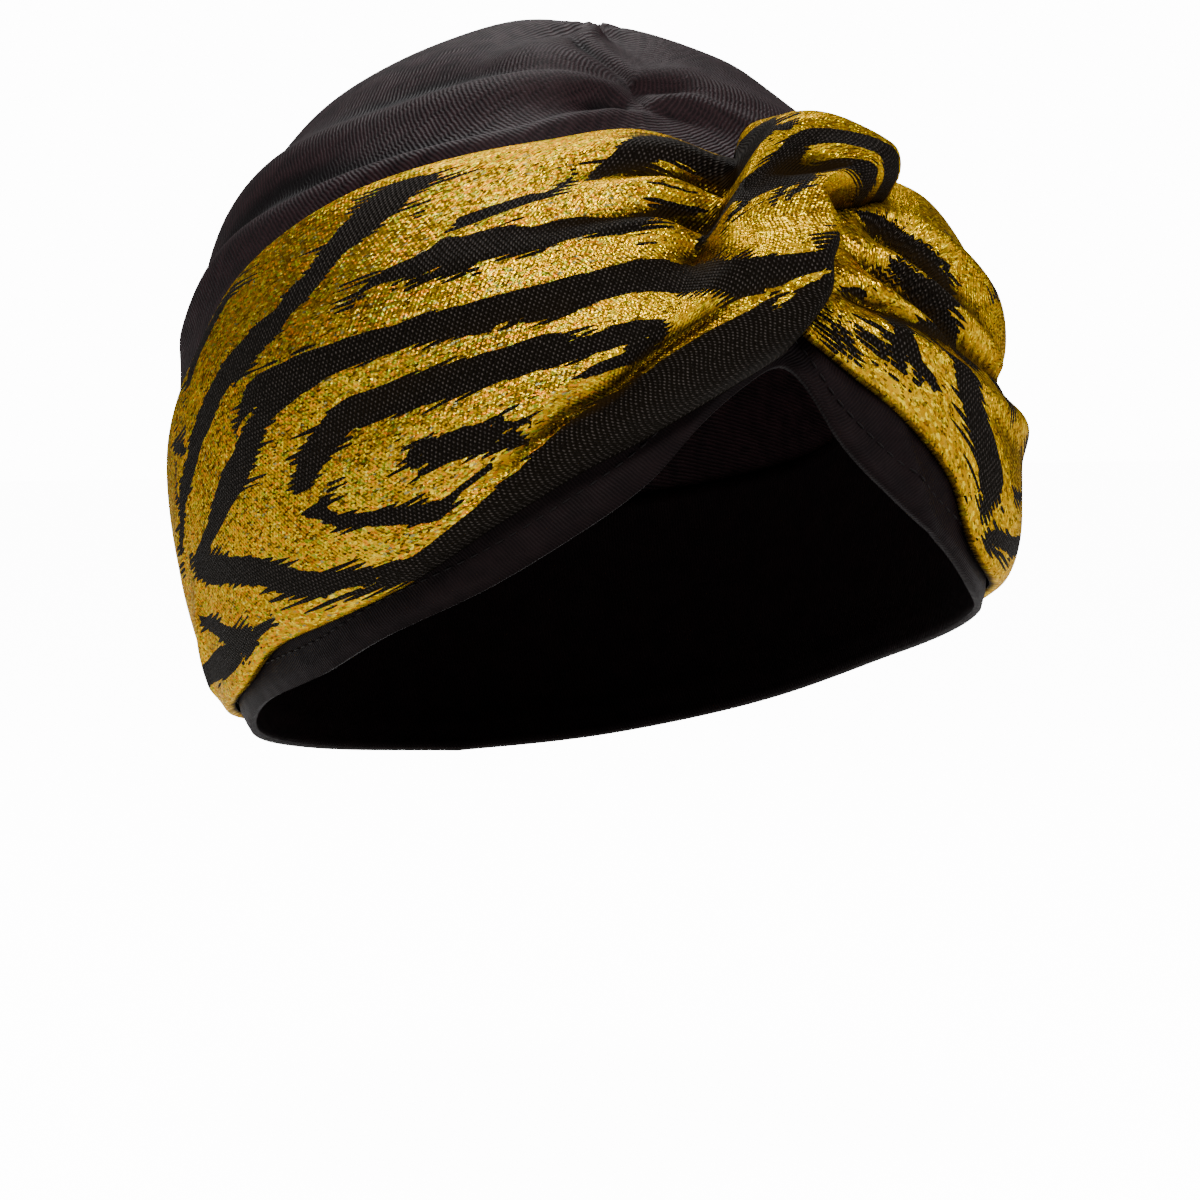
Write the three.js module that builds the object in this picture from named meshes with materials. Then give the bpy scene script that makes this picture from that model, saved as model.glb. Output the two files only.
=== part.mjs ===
import * as THREE from 'three';

// A twist-front turban as it sits when worn: a gathered crown of ribbed jersey, an inner band round
// the rim, and two wraps of printed knit, one of which rolls over the other in a twist at the front.
// Millimetres, +Z up. The front faces -Y, and "right" is the -X side. The origin is the middle of
// the hollow. An azimuth is in degrees from the front towards +X, an elevation in degrees above the
// origin, and a height in millimetres outside the hollow form.

// Driving sizes
const liningInside = -1.0;
const liningWall = 1.7;
const layerGap = 0.7;
const seatGap = 0.5;
const crownWall = 1.8;
const crownEase = 0.8;
const crownTuck = { from: 12, to: 24 };
const bandWall = 2.0;
const foldRoom = 1.2;
const twistWall = 2.4;
const seamHalfAngle = 0.1;
const joinHalfStep = 0.003;
const roundness = 2.15;
const arcRadius = 100;
const halfTurn = 180;

const liningHeight = liningInside + liningWall;
const crownHeight = liningHeight + layerGap + crownWall;

// Grid steps of each piece
const crownSteps = { round: 56, down: 17 };
const liningSteps = { round: 80, down: 4 };
const bandSteps = { perRow: 4, across: 15 };
const twistSteps = { along: 20, across: 18 };
const foldSamples = 14;

const cloth = {
  crown: { color: 0x1e1618, roughness: 0.85, metalness: 0.0 },
  lining: { color: 0x17110f, roughness: 0.8, metalness: 0.0 },
  print: { color: 0xb98c2e, roughness: 0.45, metalness: 0.35 },
};

// The hollow form: its radius towards the front, the two sides and the back at each elevation. It is
// fuller on the right, where more cloth is gathered under the wrap.
const hollowForm = table(
  ['elevation', 'front', 'right', 'left', 'back'],
  [
    [-50, 90, 79, 73, 80],
    [-30, 91, 84.5, 77, 97],
    [-10, 92, 83.5, 81, 104],
    [10, 94, 87, 85, 110],
    [27, 97, 95, 89, 114],
    [45, 96, 101, 96, 119],
    [65, 100, 103.5, 101, 117],
    [90, 110.5, 110.5, 110.5, 110.5],
  ],
);

// The rim, low at the nape and rising to a peak at the front
const rim = table(
  ['azimuth', 'elevation'],
  [
    [-180, -33],
    [-150, -31],
    [-120, -28],
    [-97, -23],
    [-73, -17],
    [-57, -10],
    [-41, -3],
    [-29, 4],
    [-19, 11],
    [-11, 19],
    [-4, 24],
    [1, 26],
    [4, 24],
    [9, 16],
    [17, 9],
    [28, 2],
    [41, -5],
    [60, -10],
    [90, -19],
    [120, -27],
    [150, -31],
    [180, -33],
  ],
);

// The crown's lower edge, tucked behind the wraps
const crownEdge = table(
  ['azimuth', 'elevation'],
  [
    [-180, -8],
    [-150, -6],
    [-122, 0],
    [-103, 12],
    [-90, 24],
    [-75, 33],
    [-57, 40],
    [-38, 45],
    [-20, 49],
    [0, 50],
    [25, 49],
    [45, 43],
    [66, 33],
    [83, 25],
    [101, 16],
    [120, 4],
    [150, -4],
    [180, -8],
  ],
);
const liningOverlap = 8;
const gather = { azimuth: -13, elevation: 73 };

const foldColumns = [
  'fromAzimuth', 'fromElevation', 'midAzimuth', 'midElevation', 'toAzimuth', 'toElevation',
  'height', 'toHeight', 'width',
];

// Folds of the crown: rolls fan from the gather round to the right, the left and the back
const crownFolds = foldTable([
  [-20, 77, -112, 77, -152, 46, 2.6, 3.6, 15],
  [-24, 71, -88, 63, -138, 34, 3.0, 3.4, 8],
  [-13, 66, -74, 51, -124, 26, 2.6, 2.6, 6],
  [-30, 80, -45, 84, -150, 84, -1.6, -0.6, 4],
  [20, 80, 80, 79, 120, 58, 0.8, 1.0, 13],
  [-9, 73, 18, 71, 38, 64, 2.0, 0.4, 5],
  [-5, 69, 8, 68, 22, 63, 2.0, 0.4, 4],
  [120, 76, 142, 56, 152, 26, 1.8, 0.6, 12],
  [-170, 78, 178, 56, 178, 26, 2.0, 0.6, 12],
  [70, 74, 84, 62, 96, 46, 1.6, 0.4, 9],
]);

const wrapColumns = [
  'lowAzimuth', 'lowElevation', 'highAzimuth', 'highElevation', 'bowAzimuth', 'bowElevation', 'puff',
];

// The right wrap from its back seam to the line where it passes under and into the twist
const rightWrap = table(wrapColumns, [
  [-halfTurn + seamHalfAngle, -28, -halfTurn + seamHalfAngle, 4, 0, 0, 1.8],
  [-150, -26, -150, 7, 0, 0, 1.6],
  [-122, -24, -124, 12, 0, 0, 1.2],
  [-99, -20, -103, 24, 0, 0, 1.4],
  [-82, -13, -92, 36, 0, 0, 2.4],
  [-66, -8, -75, 45, 0, 0, 3.4],
  [-51, -2, -57, 51, 0, 0, 4.6],
  [-38, 6, -37, 56, 0, 0, 5.0],
  [-28, 12, -16, 60, -2, 0, 5.2],
  [-20, 16, 5, 56, -5, 0, 5.4],
]);
const rightFolds = foldTable([
  [2, 53, -12, 54, -32, 51, 3.0, 0.8, 4.5],
  [-2, 49.5, -13, 50.5, -28, 47, -1.8, -0.2, 3],
  [-6, 46, -18, 47, -36, 43, 3.0, 0.6, 3.5],
  [-8, 43, -19, 43.5, -34, 40, -2.2, -0.2, 3],
  [-9, 40, -22, 40, -44, 34, 2.6, 0.8, 4],
  [-6, 31, -24, 21, -42, 8, -2.4, -0.6, 3.5],
  [-8, 25, -27, 14, -50, 0, 1.6, 0.6, 4],
]);
const crevice = { depth: 3.6, fromAcross: 0.45, toAcross: 0.62, rows: 0.7 };

// The left wrap from under the twist to its back seam
const leftWrap = table(wrapColumns, [
  [4, 30.5, 38, 52, -8, 4, 0.4],
  [11, 24.5, 47, 50.5, -7, 3, 2.4],
  [18, 19.5, 54, 48.5, -4, 2, 4.0],
  [28, 11, 63, 46, -1, 0.5, 3.8],
  [34, 2, 74, 42, 0, 0, 3.4],
  [45, -3, 86, 37, 0, 0, 3.2],
  [63, -6.5, 98, 29, 0, 0, 3.4],
  [90, -14, 114, 19, 0, 0, 2.4],
  [120, -21, 134, 11, 0, 0, 2.0],
  [150, -25, 155, 7, 0, 0, 1.8],
  [halfTurn - seamHalfAngle, -28, halfTurn - seamHalfAngle, 4, 0, 0, 1.8],
]);
const leftFolds = foldTable([
  [30, 45, 36, 37, 58, 29, 3.2, 0.4, 4.5],
  [24, 44, 28, 36, 44, 26, -1.6, 0, 2.6],
  [19, 43, 24, 36, 42, 24, 2.6, 0.2, 3.2],
  [14, 38, 22, 31, 42, 20, 2.6, 0.2, 3.2],
  [12, 34, 27, 28, 68, 20, -3.4, -3.8, 4.4],
  [14, 29, 27, 19, 50, 2, 2.4, 0.6, 7],
]);

// The left wrap lies flat under the twist, and its pleats start from there
const pleatStart = { from: 0.4, to: 1.4 };

// The twist: guide rows from its lower border up and over its top roll, each from the join with the
// right wrap, through a middle point, to the edge where the cloth folds under
const twistGuides = table(
  ['across', 'midAzimuth', 'midElevation', 'midHeight', 'endAzimuth', 'endElevation', 'endHeight'],
  [
    [0, -9, 22, 11, 1, 27, 15],
    [0.23, -5, 31, 12, 7, 32, 17],
    [0.375, -4, 35, 16, 8, 35, 20],
    [0.58, 0, 40.5, 18, 11, 39, 21],
    [0.63, 2, 44, 18, 13, 45, 19],
    [0.755, 12, 51, 19, 26.5, 46.5, 20],
    [0.905, 21, 55.5, 21.5, 35, 47.5, 20],
    [1, 20, 62, 12, 42, 54, 12],
  ],
);
const twistRise = { low: 0.55, high: 0.16 };
const twistRoll = { start: 0.88, height: 10.8 };
const twistFill = { from: 0.4, to: 0.75, inside: 8.4 };
const twistBack = { from: 0.68, to: 0.92 };

// Stand-off of a wrap's two edges, which rest on the inner band and on the crown
const lowSeat = liningHeight + seatGap + bandWall;
const highSeat = crownHeight + foldRoom + bandWall;
const twistBackSeat = twistFill.inside + twistWall;
const edgeSquareness = 5;
const edgeCrowding = 0.7;
const seatCurve = 1.3;

// A table is one array of numbers for each named column
function table(columns, rows) {
  const made = { rows: rows.length };
  columns.forEach((name, place) => {
    made[name] = rows.map((row) => row[place]);
  });
  return made;
}

// A cubic through a table's values, with each slope taken from the neighbouring rows
function through(xs, ys, x) {
  const last = xs.length - 1;
  let row = 0;
  while (row < last - 1 && x > xs[row + 1]) row += 1;
  const slope = (k) => {
    const before = Math.max(k - 1, 0);
    const after = Math.min(k + 1, last);
    return (ys[after] - ys[before]) / (xs[after] - xs[before]);
  };
  const step = xs[row + 1] - xs[row];
  const t = THREE.MathUtils.clamp((x - xs[row]) / step, 0, 1);
  const square = t * t;
  const cube = square * t;
  return (2 * cube - 3 * square + 1) * ys[row] + (cube - 2 * square + t) * step * slope(row)
    + (3 * square - 2 * cube) * ys[row + 1] + (cube - square) * step * slope(row + 1);
}

function alongRows(rows, column, place) {
  const counts = column.map((_, index) => index);
  return through(counts, column, THREE.MathUtils.clamp(place, 0, rows - 1));
}

function smooth(from, to, x) {
  return THREE.MathUtils.smoothstep(x, from, to);
}

// The unit direction of an azimuth and an elevation
function direction(azimuth, elevation) {
  const turn = THREE.MathUtils.degToRad(azimuth);
  const lift = THREE.MathUtils.degToRad(elevation);
  return new THREE.Vector3(
    Math.sin(turn) * Math.cos(lift),
    -Math.cos(turn) * Math.cos(lift),
    Math.sin(lift),
  );
}

// The hollow form's radius: a superellipse between its front or back and one of its sides
function hollowRadius(way) {
  const elevation = THREE.MathUtils.radToDeg(Math.asin(THREE.MathUtils.clamp(way.z, -1, 1)));
  const turn = Math.atan2(way.x, -way.y);
  const ends = Math.cos(turn) >= 0 ? hollowForm.front : hollowForm.back;
  const sides = Math.sin(turn) >= 0 ? hollowForm.left : hollowForm.right;
  const lengthwise = Math.abs(Math.cos(turn)) / through(hollowForm.elevation, ends, elevation);
  const sideways = Math.abs(Math.sin(turn)) / through(hollowForm.elevation, sides, elevation);
  return (lengthwise ** roundness + sideways ** roundness) ** (-1 / roundness);
}

function onHollow(way, height) {
  return way.clone().multiplyScalar(hollowRadius(way) + height);
}

// Each fold's line runs through three directions; it is kept as a row of unit vectors
function foldTable(rows) {
  const folds = table(foldColumns, rows);
  const lines = rows.map((_, index) => {
    const ends = [
      direction(folds.fromAzimuth[index], folds.fromElevation[index]),
      direction(folds.midAzimuth[index], folds.midElevation[index]),
      direction(folds.toAzimuth[index], folds.toElevation[index]),
    ];
    return new THREE.CatmullRomCurve3(ends).getPoints(foldSamples).map((point) => point.normalize());
  });
  return { ...folds, lines };
}

// The height that the folds add: a rounded ridge, or a groove, along each fold's line
function foldHeight(way, folds) {
  let total = 0;
  folds.lines.forEach((line, index) => {
    let nearest = Infinity;
    let along = 0;
    line.forEach((point, sample) => {
      const gap = way.distanceTo(point) * arcRadius;
      if (gap < nearest) {
        nearest = gap;
        along = sample / foldSamples;
      }
    });
    const height = THREE.MathUtils.lerp(folds.height[index], folds.toHeight[index], along);
    total += height * Math.exp(-((nearest / folds.width[index]) ** 2));
  });
  return total;
}

// The crown's grid: arcs from the gather to the edge, so its folds meet at the gather
function crownWay(azimuth, share) {
  const start = direction(gather.azimuth, gather.elevation);
  const end = direction(azimuth, through(crownEdge.azimuth, crownEdge.elevation, azimuth));
  const angle = start.angleTo(end);
  return start.multiplyScalar(Math.sin((1 - share) * angle) / Math.sin(angle))
    .addScaledVector(end, Math.sin(share * angle) / Math.sin(angle))
    .normalize();
}

// The crown is full where it shows, and flat where the wraps cover it
function crownPoint(round, down, layer) {
  const azimuth = THREE.MathUtils.lerp(-halfTurn, halfTurn, round);
  const way = crownWay(azimuth, down);
  const fromEdge = THREE.MathUtils.radToDeg(way.angleTo(crownWay(azimuth, 1)));
  const shown = smooth(crownTuck.from, crownTuck.to, fromEdge);
  const top = crownHeight + shown * (crownEase + foldHeight(way, crownFolds));
  return onHollow(way, layer === 'outer' ? top : top - crownWall);
}

function liningPoint(round, down, layer) {
  const azimuth = THREE.MathUtils.lerp(-halfTurn, halfTurn, round);
  const low = through(rim.azimuth, rim.elevation, azimuth);
  const high = through(crownEdge.azimuth, crownEdge.elevation, azimuth) + liningOverlap;
  const way = direction(azimuth, THREE.MathUtils.lerp(low, high, down));
  return onHollow(way, layer === 'outer' ? liningHeight : liningInside);
}

// The direction at a place along and across a wrap: a straight line between its two edges, bowed in
// its middle
function wrapWay(wrap, place, across) {
  const at = (column) => alongRows(wrap.rows, wrap[column], place);
  const bow = 4 * across * (1 - across);
  const azimuth = THREE.MathUtils.lerp(at('lowAzimuth'), at('highAzimuth'), across);
  const elevation = THREE.MathUtils.lerp(at('lowElevation'), at('highElevation'), across);
  return direction(azimuth + bow * at('bowAzimuth'), elevation + bow * at('bowElevation'));
}

// How far a wrap has risen between its two rounded edges, 0 at the edges and 1 in the middle
function edgeRise(across) {
  return Math.sqrt(1 - Math.abs(2 * across - 1) ** edgeSquareness);
}

// A wrap's stand-off: its seat, and between its edges its puff and its folds
function wrapHeight(wrap, folds, place, across, foldShare = 1) {
  const puff = alongRows(wrap.rows, wrap.puff, place);
  const seat = THREE.MathUtils.lerp(lowSeat, highSeat, across ** seatCurve);
  const folded = foldShare * foldHeight(wrapWay(wrap, place, across), folds);
  return seat + edgeRise(across) * (puff + folded);
}

// The right wrap's upper half sinks where it tucks under the twist
function rightHeight(place, across) {
  const tuck = smooth(crevice.fromAcross, crevice.toAcross, across)
    * smooth(rightWrap.rows - 1 - crevice.rows, rightWrap.rows - 1, place);
  return wrapHeight(rightWrap, rightFolds, place, across) - crevice.depth * tuck * edgeRise(across);
}

function rightPoint(along, across, layer) {
  const place = along * (rightWrap.rows - 1 - joinHalfStep * rightWrap.rows);
  const height = rightHeight(place, across);
  return onHollow(wrapWay(rightWrap, place, across), layer === 'outer' ? height : height - bandWall);
}

function leftPoint(along, across, layer) {
  const place = along * (leftWrap.rows - 1);
  const pleats = smooth(pleatStart.from, pleatStart.to, place);
  const height = wrapHeight(leftWrap, leftFolds, place, across, pleats);
  return onHollow(wrapWay(leftWrap, place, across), layer === 'outer' ? height : height - bandWall);
}

// A guide value at a share of the way along: a parabola through its start, middle and end
function bent(start, middle, end, share) {
  return start * (1 - share) * (1 - 2 * share) + middle * 4 * share * (1 - share)
    + end * share * (2 * share - 1);
}

function guideAt(column, across) {
  return through(twistGuides.across, twistGuides[column], across);
}

// From the right wrap's last row, through the guide rows' middles, to their ends
function twistWay(along, across) {
  const last = rightWrap.rows - 1;
  const bow = 4 * across * (1 - across);
  const startAzimuth = THREE.MathUtils.lerp(
    rightWrap.lowAzimuth[last],
    rightWrap.highAzimuth[last],
    across,
  ) + bow * rightWrap.bowAzimuth[last];
  const startElevation = THREE.MathUtils.lerp(
    rightWrap.lowElevation[last],
    rightWrap.highElevation[last],
    across,
  );
  return direction(
    bent(startAzimuth, guideAt('midAzimuth', across), guideAt('endAzimuth', across), along),
    bent(startElevation, guideAt('midElevation', across), guideAt('endElevation', across), along),
  );
}

// The twist rises from the right wrap, arches over, and rolls under at its end and its top edge
function twistHeight(along, across) {
  const start = rightHeight(rightWrap.rows - 1, across);
  const upper = smooth(crevice.fromAcross, crevice.toAcross, across);
  const rise = smooth(0, THREE.MathUtils.lerp(twistRise.low, twistRise.high, upper), along);
  const arch = bent(
    guideAt('midHeight', across),
    guideAt('midHeight', across),
    guideAt('endHeight', across),
    along,
  );
  const lifted = smooth(twistBack.from, twistBack.to, along);
  const backSeat = THREE.MathUtils.lerp(highSeat, twistBackSeat, lifted);
  const seat = THREE.MathUtils.lerp(lowSeat, backSeat, across);
  const top = THREE.MathUtils.lerp(start, seat + (arch - seat) * edgeRise(across), rise);
  const turned = Math.max(0, (along - twistRoll.start) / (1 - twistRoll.start));
  const foot = Math.min(top, twistRoll.height);
  return foot + (top - foot) * Math.sqrt(1 - turned * turned);
}

function twistPoint(along, across, layer) {
  const place = THREE.MathUtils.lerp(joinHalfStep, 1, along);
  const top = twistHeight(place, across);
  const filled = smooth(twistFill.from, twistFill.to, place);
  const under = top - twistWall;
  const inside = Math.min(under, THREE.MathUtils.lerp(under, twistFill.inside, filled));
  return onHollow(twistWay(place, across), layer === 'outer' ? top : inside);
}

// A closed body from an outer and an inner sheet: a grid of steps round by steps down. A sheet that
// goes all the way round is joined to itself, and a sheet with a pole starts at one point.
function closedSheet(pointAt, steps, { round = false, pole = false }) {
  const columns = round ? steps.round : steps.round + 1;
  const positions = [];
  const index = [];
  const corner = { outer: [], inner: [] };
  for (const layer of ['outer', 'inner']) {
    for (let down = 0; down <= steps.down; down += 1) {
      corner[layer].push([]);
      for (let turn = 0; turn < columns; turn += 1) {
        if (pole && down === 0 && turn > 0) {
          corner[layer][down].push(corner[layer][0][0]);
        } else {
          corner[layer][down].push(positions.length / 3);
          positions.push(...pointAt(turn / steps.round, spaced(down / steps.down, pole, round), layer));
        }
      }
    }
  }
  const quad = (a, b, c, d) => {
    if (a !== b) index.push(a, b, c);
    if (c !== d) index.push(a, c, d);
  };
  for (let turn = 0; turn < steps.round; turn += 1) {
    const next = (turn + 1) % columns;
    for (let down = 0; down < steps.down; down += 1) {
      const outer = corner.outer;
      const inner = corner.inner;
      quad(outer[down][turn], outer[down][next], outer[down + 1][next], outer[down + 1][turn]);
      quad(inner[down + 1][turn], inner[down + 1][next], inner[down][next], inner[down][turn]);
    }
    closeRim(corner, quad, steps.down, turn, next);
    if (!pole) closeRim(corner, quad, 0, next, turn);
  }
  if (!round) {
    for (let down = 0; down < steps.down; down += 1) {
      closeSide(corner, quad, down, 0, false);
      closeSide(corner, quad, down, steps.round, true);
    }
  }
  const geometry = new THREE.BufferGeometry();
  geometry.setAttribute('position', new THREE.Float32BufferAttribute(positions, 3));
  geometry.setIndex(outward(positions, index));
  geometry.computeVertexNormals();
  return geometry;
}

function closeRim(corner, quad, down, turn, next) {
  const outer = corner.outer[down];
  const inner = corner.inner[down];
  quad(outer[turn], outer[next], inner[next], inner[turn]);
}

function closeSide(corner, quad, down, turn, far) {
  const upper = far ? down + 1 : down;
  const lower = far ? down : down + 1;
  const { outer, inner } = corner;
  quad(outer[lower][turn], inner[lower][turn], inner[upper][turn], outer[upper][turn]);
}

// Steps are closer together at the rounded edges of an open sheet
function spaced(share, pole, round) {
  const eased = (1 - Math.cos(Math.PI * share)) / 2;
  return pole || round ? share : THREE.MathUtils.lerp(share, eased, edgeCrowding);
}

// Turns every face round if the body's volume comes out negative
function outward(positions, index) {
  const at = (corner) => new THREE.Vector3().fromArray(positions, 3 * corner);
  let volume = 0;
  for (let first = 0; first < index.length; first += 3) {
    const edge = at(index[first + 1]).cross(at(index[first + 2]));
    volume += at(index[first]).dot(edge) / 6;
  }
  if (volume > 0) return index;
  const turned = [];
  for (let first = 0; first < index.length; first += 3) {
    turned.push(index[first], index[first + 2], index[first + 1]);
  }
  return turned;
}

function piece(name, geometry, finish) {
  const mesh = new THREE.Mesh(geometry, new THREE.MeshStandardMaterial(finish));
  mesh.name = name;
  return mesh;
}

function makeCrown() {
  return closedSheet(crownPoint, crownSteps, { round: true, pole: true });
}

function makeLining() {
  return closedSheet(liningPoint, liningSteps, { round: true });
}

function makeWrap(pointAt, wrap) {
  const steps = { round: bandSteps.perRow * (wrap.rows - 1), down: bandSteps.across };
  return closedSheet(pointAt, steps, {});
}

function makeTwist() {
  return closedSheet(twistPoint, { round: twistSteps.along, down: twistSteps.across }, {});
}

const turban = new THREE.Group();
turban.add(piece('crown', makeCrown(), cloth.crown));
turban.add(piece('lining_band', makeLining(), cloth.lining));
turban.add(piece('band_right', makeWrap(rightPoint, rightWrap), cloth.print));
turban.add(piece('band_left', makeWrap(leftPoint, leftWrap), cloth.print));
turban.add(piece('twist', makeTwist(), cloth.print));

export default turban;
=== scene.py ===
"""The looks of a twist-front turban: gathered ribbed crown, inner band, and two wraps of foil printed knit.

Lengths in the tables are millimetres, azimuths are degrees from the front towards +X, elevations are
degrees above the origin, and heights are outside the hollow form. A place counts the rows of a wrap's
table, and across runs from a wrap's low edge, 0, to its high edge, 1.
"""

import math

import bpy
import numpy as np
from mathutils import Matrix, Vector


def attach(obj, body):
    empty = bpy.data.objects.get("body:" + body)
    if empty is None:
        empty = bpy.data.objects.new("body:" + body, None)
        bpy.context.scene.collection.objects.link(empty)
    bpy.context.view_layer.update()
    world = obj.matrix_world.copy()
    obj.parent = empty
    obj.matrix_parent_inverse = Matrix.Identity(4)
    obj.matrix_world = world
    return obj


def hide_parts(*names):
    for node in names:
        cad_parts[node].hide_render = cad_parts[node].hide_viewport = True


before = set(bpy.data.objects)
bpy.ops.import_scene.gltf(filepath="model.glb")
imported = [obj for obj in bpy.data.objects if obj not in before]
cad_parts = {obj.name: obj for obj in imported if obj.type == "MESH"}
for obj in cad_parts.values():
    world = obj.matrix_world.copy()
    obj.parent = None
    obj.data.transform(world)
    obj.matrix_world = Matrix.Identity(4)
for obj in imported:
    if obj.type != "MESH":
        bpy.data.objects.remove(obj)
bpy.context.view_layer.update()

MM = 0.001

# Walls and stand-offs, as in the part's source
LINING_INSIDE = -1.0
LINING_WALL = 1.7
LAYER_GAP = 0.7
SEAT_GAP = 0.5
CROWN_WALL = 1.8
CROWN_EASE = 0.8
BAND_WALL = 2.0
FOLD_ROOM = 1.2
TWIST_WALL = 2.4
ROUNDNESS = 2.15
ARC_RADIUS = 100.0
LINING_HEIGHT = LINING_INSIDE + LINING_WALL
CROWN_HEIGHT = LINING_HEIGHT + LAYER_GAP + CROWN_WALL
LOW_SEAT = LINING_HEIGHT + SEAT_GAP + BAND_WALL
HIGH_SEAT = CROWN_HEIGHT + FOLD_ROOM + BAND_WALL
CROWN_TUCK = (12.0, 24.0)
LINING_OVERLAP = 8.0
EDGE_SQUARENESS = 5.0
SEAT_CURVE = 1.3
SEAM_HALF_ANGLE = 0.1

GATHER = (-13.0, 73.0)
RIB_RADIUS = 110.0


def table(columns, rows):
    """One array of numbers for each named column."""
    return dict(zip(columns.split(), np.array(rows, float).T))


HOLLOW_FORM = table(
    "elevation front right left back",
    [
        (-50, 90, 79, 73, 80),
        (-30, 91, 84.5, 77, 97),
        (-10, 92, 83.5, 81, 104),
        (10, 94, 87, 85, 110),
        (27, 97, 95, 89, 114),
        (45, 96, 101, 96, 119),
        (65, 100, 103.5, 101, 117),
        (90, 110.5, 110.5, 110.5, 110.5),
    ],
)

RIM = table(
    "azimuth elevation",
    [
        (-180, -33), (-150, -31), (-120, -28), (-97, -23), (-73, -17), (-57, -10), (-41, -3), (-29, 4),
        (-19, 11), (-11, 19), (-4, 24), (1, 26), (4, 24), (9, 16), (17, 9), (28, 2), (41, -5), (60, -10),
        (90, -19), (120, -27), (150, -31), (180, -33),
    ],
)

CROWN_EDGE = table(
    "azimuth elevation",
    [
        (-180, -8), (-150, -6), (-122, 0), (-103, 12), (-90, 24), (-75, 33), (-57, 40), (-38, 45),
        (-20, 49), (0, 50), (25, 49), (45, 43), (66, 33), (83, 25), (101, 16), (120, 4), (150, -4),
        (180, -8),
    ],
)

WRAP_COLUMNS = "low_azimuth low_elevation high_azimuth high_elevation bow_azimuth bow_elevation puff"

RIGHT_WRAP = table(
    WRAP_COLUMNS,
    [
        (-180 + SEAM_HALF_ANGLE, -28, -180 + SEAM_HALF_ANGLE, 4, 0, 0, 1.8),
        (-150, -26, -150, 7, 0, 0, 1.6),
        (-122, -24, -124, 12, 0, 0, 1.2),
        (-99, -20, -103, 24, 0, 0, 1.4),
        (-82, -13, -92, 36, 0, 0, 2.4),
        (-66, -8, -75, 45, 0, 0, 3.4),
        (-51, -2, -57, 51, 0, 0, 4.6),
        (-38, 6, -37, 56, 0, 0, 5.0),
        (-28, 12, -16, 60, -2, 0, 5.2),
        (-20, 16, 5, 56, -5, 0, 5.4),
    ],
)

LEFT_WRAP = table(
    WRAP_COLUMNS,
    [
        (4, 30.5, 38, 52, -8, 4, 0.4),
        (11, 24.5, 47, 50.5, -7, 3, 2.4),
        (18, 19.5, 54, 48.5, -4, 2, 4.0),
        (28, 11, 63, 46, -1, 0.5, 3.8),
        (34, 2, 74, 42, 0, 0, 3.4),
        (45, -3, 86, 37, 0, 0, 3.2),
        (63, -6.5, 98, 29, 0, 0, 3.4),
        (90, -14, 114, 19, 0, 0, 2.4),
        (120, -21, 134, 11, 0, 0, 2.0),
        (150, -25, 155, 7, 0, 0, 1.8),
        (180 - SEAM_HALF_ANGLE, -28, 180 - SEAM_HALF_ANGLE, 4, 0, 0, 1.8),
    ],
)
RIGHT_ROWS = 10

# The twist's guide rows, from its lower border up and over its top roll
TWIST_GUIDES = table(
    "across mid_azimuth mid_elevation mid_height end_azimuth end_elevation end_height",
    [
        (0, -9, 22, 11, 1, 27, 15),
        (0.23, -5, 31, 12, 7, 32, 17),
        (0.375, -4, 35, 16, 8, 35, 20),
        (0.58, 0, 40.5, 18, 11, 39, 21),
        (0.63, 2, 44, 18, 13, 45, 19),
        (0.755, 12, 51, 19, 26.5, 46.5, 20),
        (0.905, 21, 55.5, 21.5, 35, 47.5, 20),
        (1, 20, 62, 12, 42, 54, 12),
    ],
)
TWIST_RISE = (0.55, 0.16)
TWIST_ROLL = (0.88, 9.6)
TWIST_FILL = (0.4, 0.75, 8.4)
TWIST_BACK = (0.68, 0.92)
TWIST_BACK_SEAT = TWIST_FILL[2] + TWIST_WALL
CREVICE = {"depth": 3.6, "from": 0.45, "to": 0.62, "rows": 0.7}
TWIST_THICKENS = (0, 0.3)
PLEAT_START = (0.4, 1.4)

# How finely a fold's line is drawn, and how far in widths a fold is worked out
FOLD_SAMPLES = 6
FOLD_STRIDE = 3
FOLD_REACH = 3.2
FOLD_MARGIN = 0.06


def through(xs, ys, x):
    """A cubic through a table's values, with each slope taken from the neighbouring rows."""
    x = np.asarray(x, float)
    last = len(xs) - 1
    row = np.clip(np.searchsorted(xs, x, side="right") - 1, 0, last - 1)
    before = np.maximum(np.arange(last + 1) - 1, 0)
    after = np.minimum(np.arange(last + 1) + 1, last)
    slope = (ys[after] - ys[before]) / (xs[after] - xs[before])
    step = xs[row + 1] - xs[row]
    t = np.clip((x - xs[row]) / step, 0, 1)
    rise = 3 * t**2 - 2 * t**3
    return (
        (1 - rise) * ys[row]
        + (t**3 - 2 * t**2 + t) * step * slope[row]
        + rise * ys[row + 1]
        + (t**3 - t**2) * step * slope[row + 1]
    )


def smooth(low, high, x):
    """0 below low, 1 above high, and an eased rise between them."""
    t = np.clip((x - low) / (high - low), 0, 1)
    return t * t * (3 - 2 * t)


def mix(a, b, share):
    """The value a share of the way from a to b."""
    return a + (b - a) * share


def direction(azimuth, elevation):
    """The unit vector of an azimuth and an elevation in degrees."""
    turn, lift = np.radians(azimuth), np.radians(elevation)
    return np.stack(
        [np.sin(turn) * np.cos(lift), -np.cos(turn) * np.cos(lift), np.sin(lift) * np.ones_like(turn)], -1
    )


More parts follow.
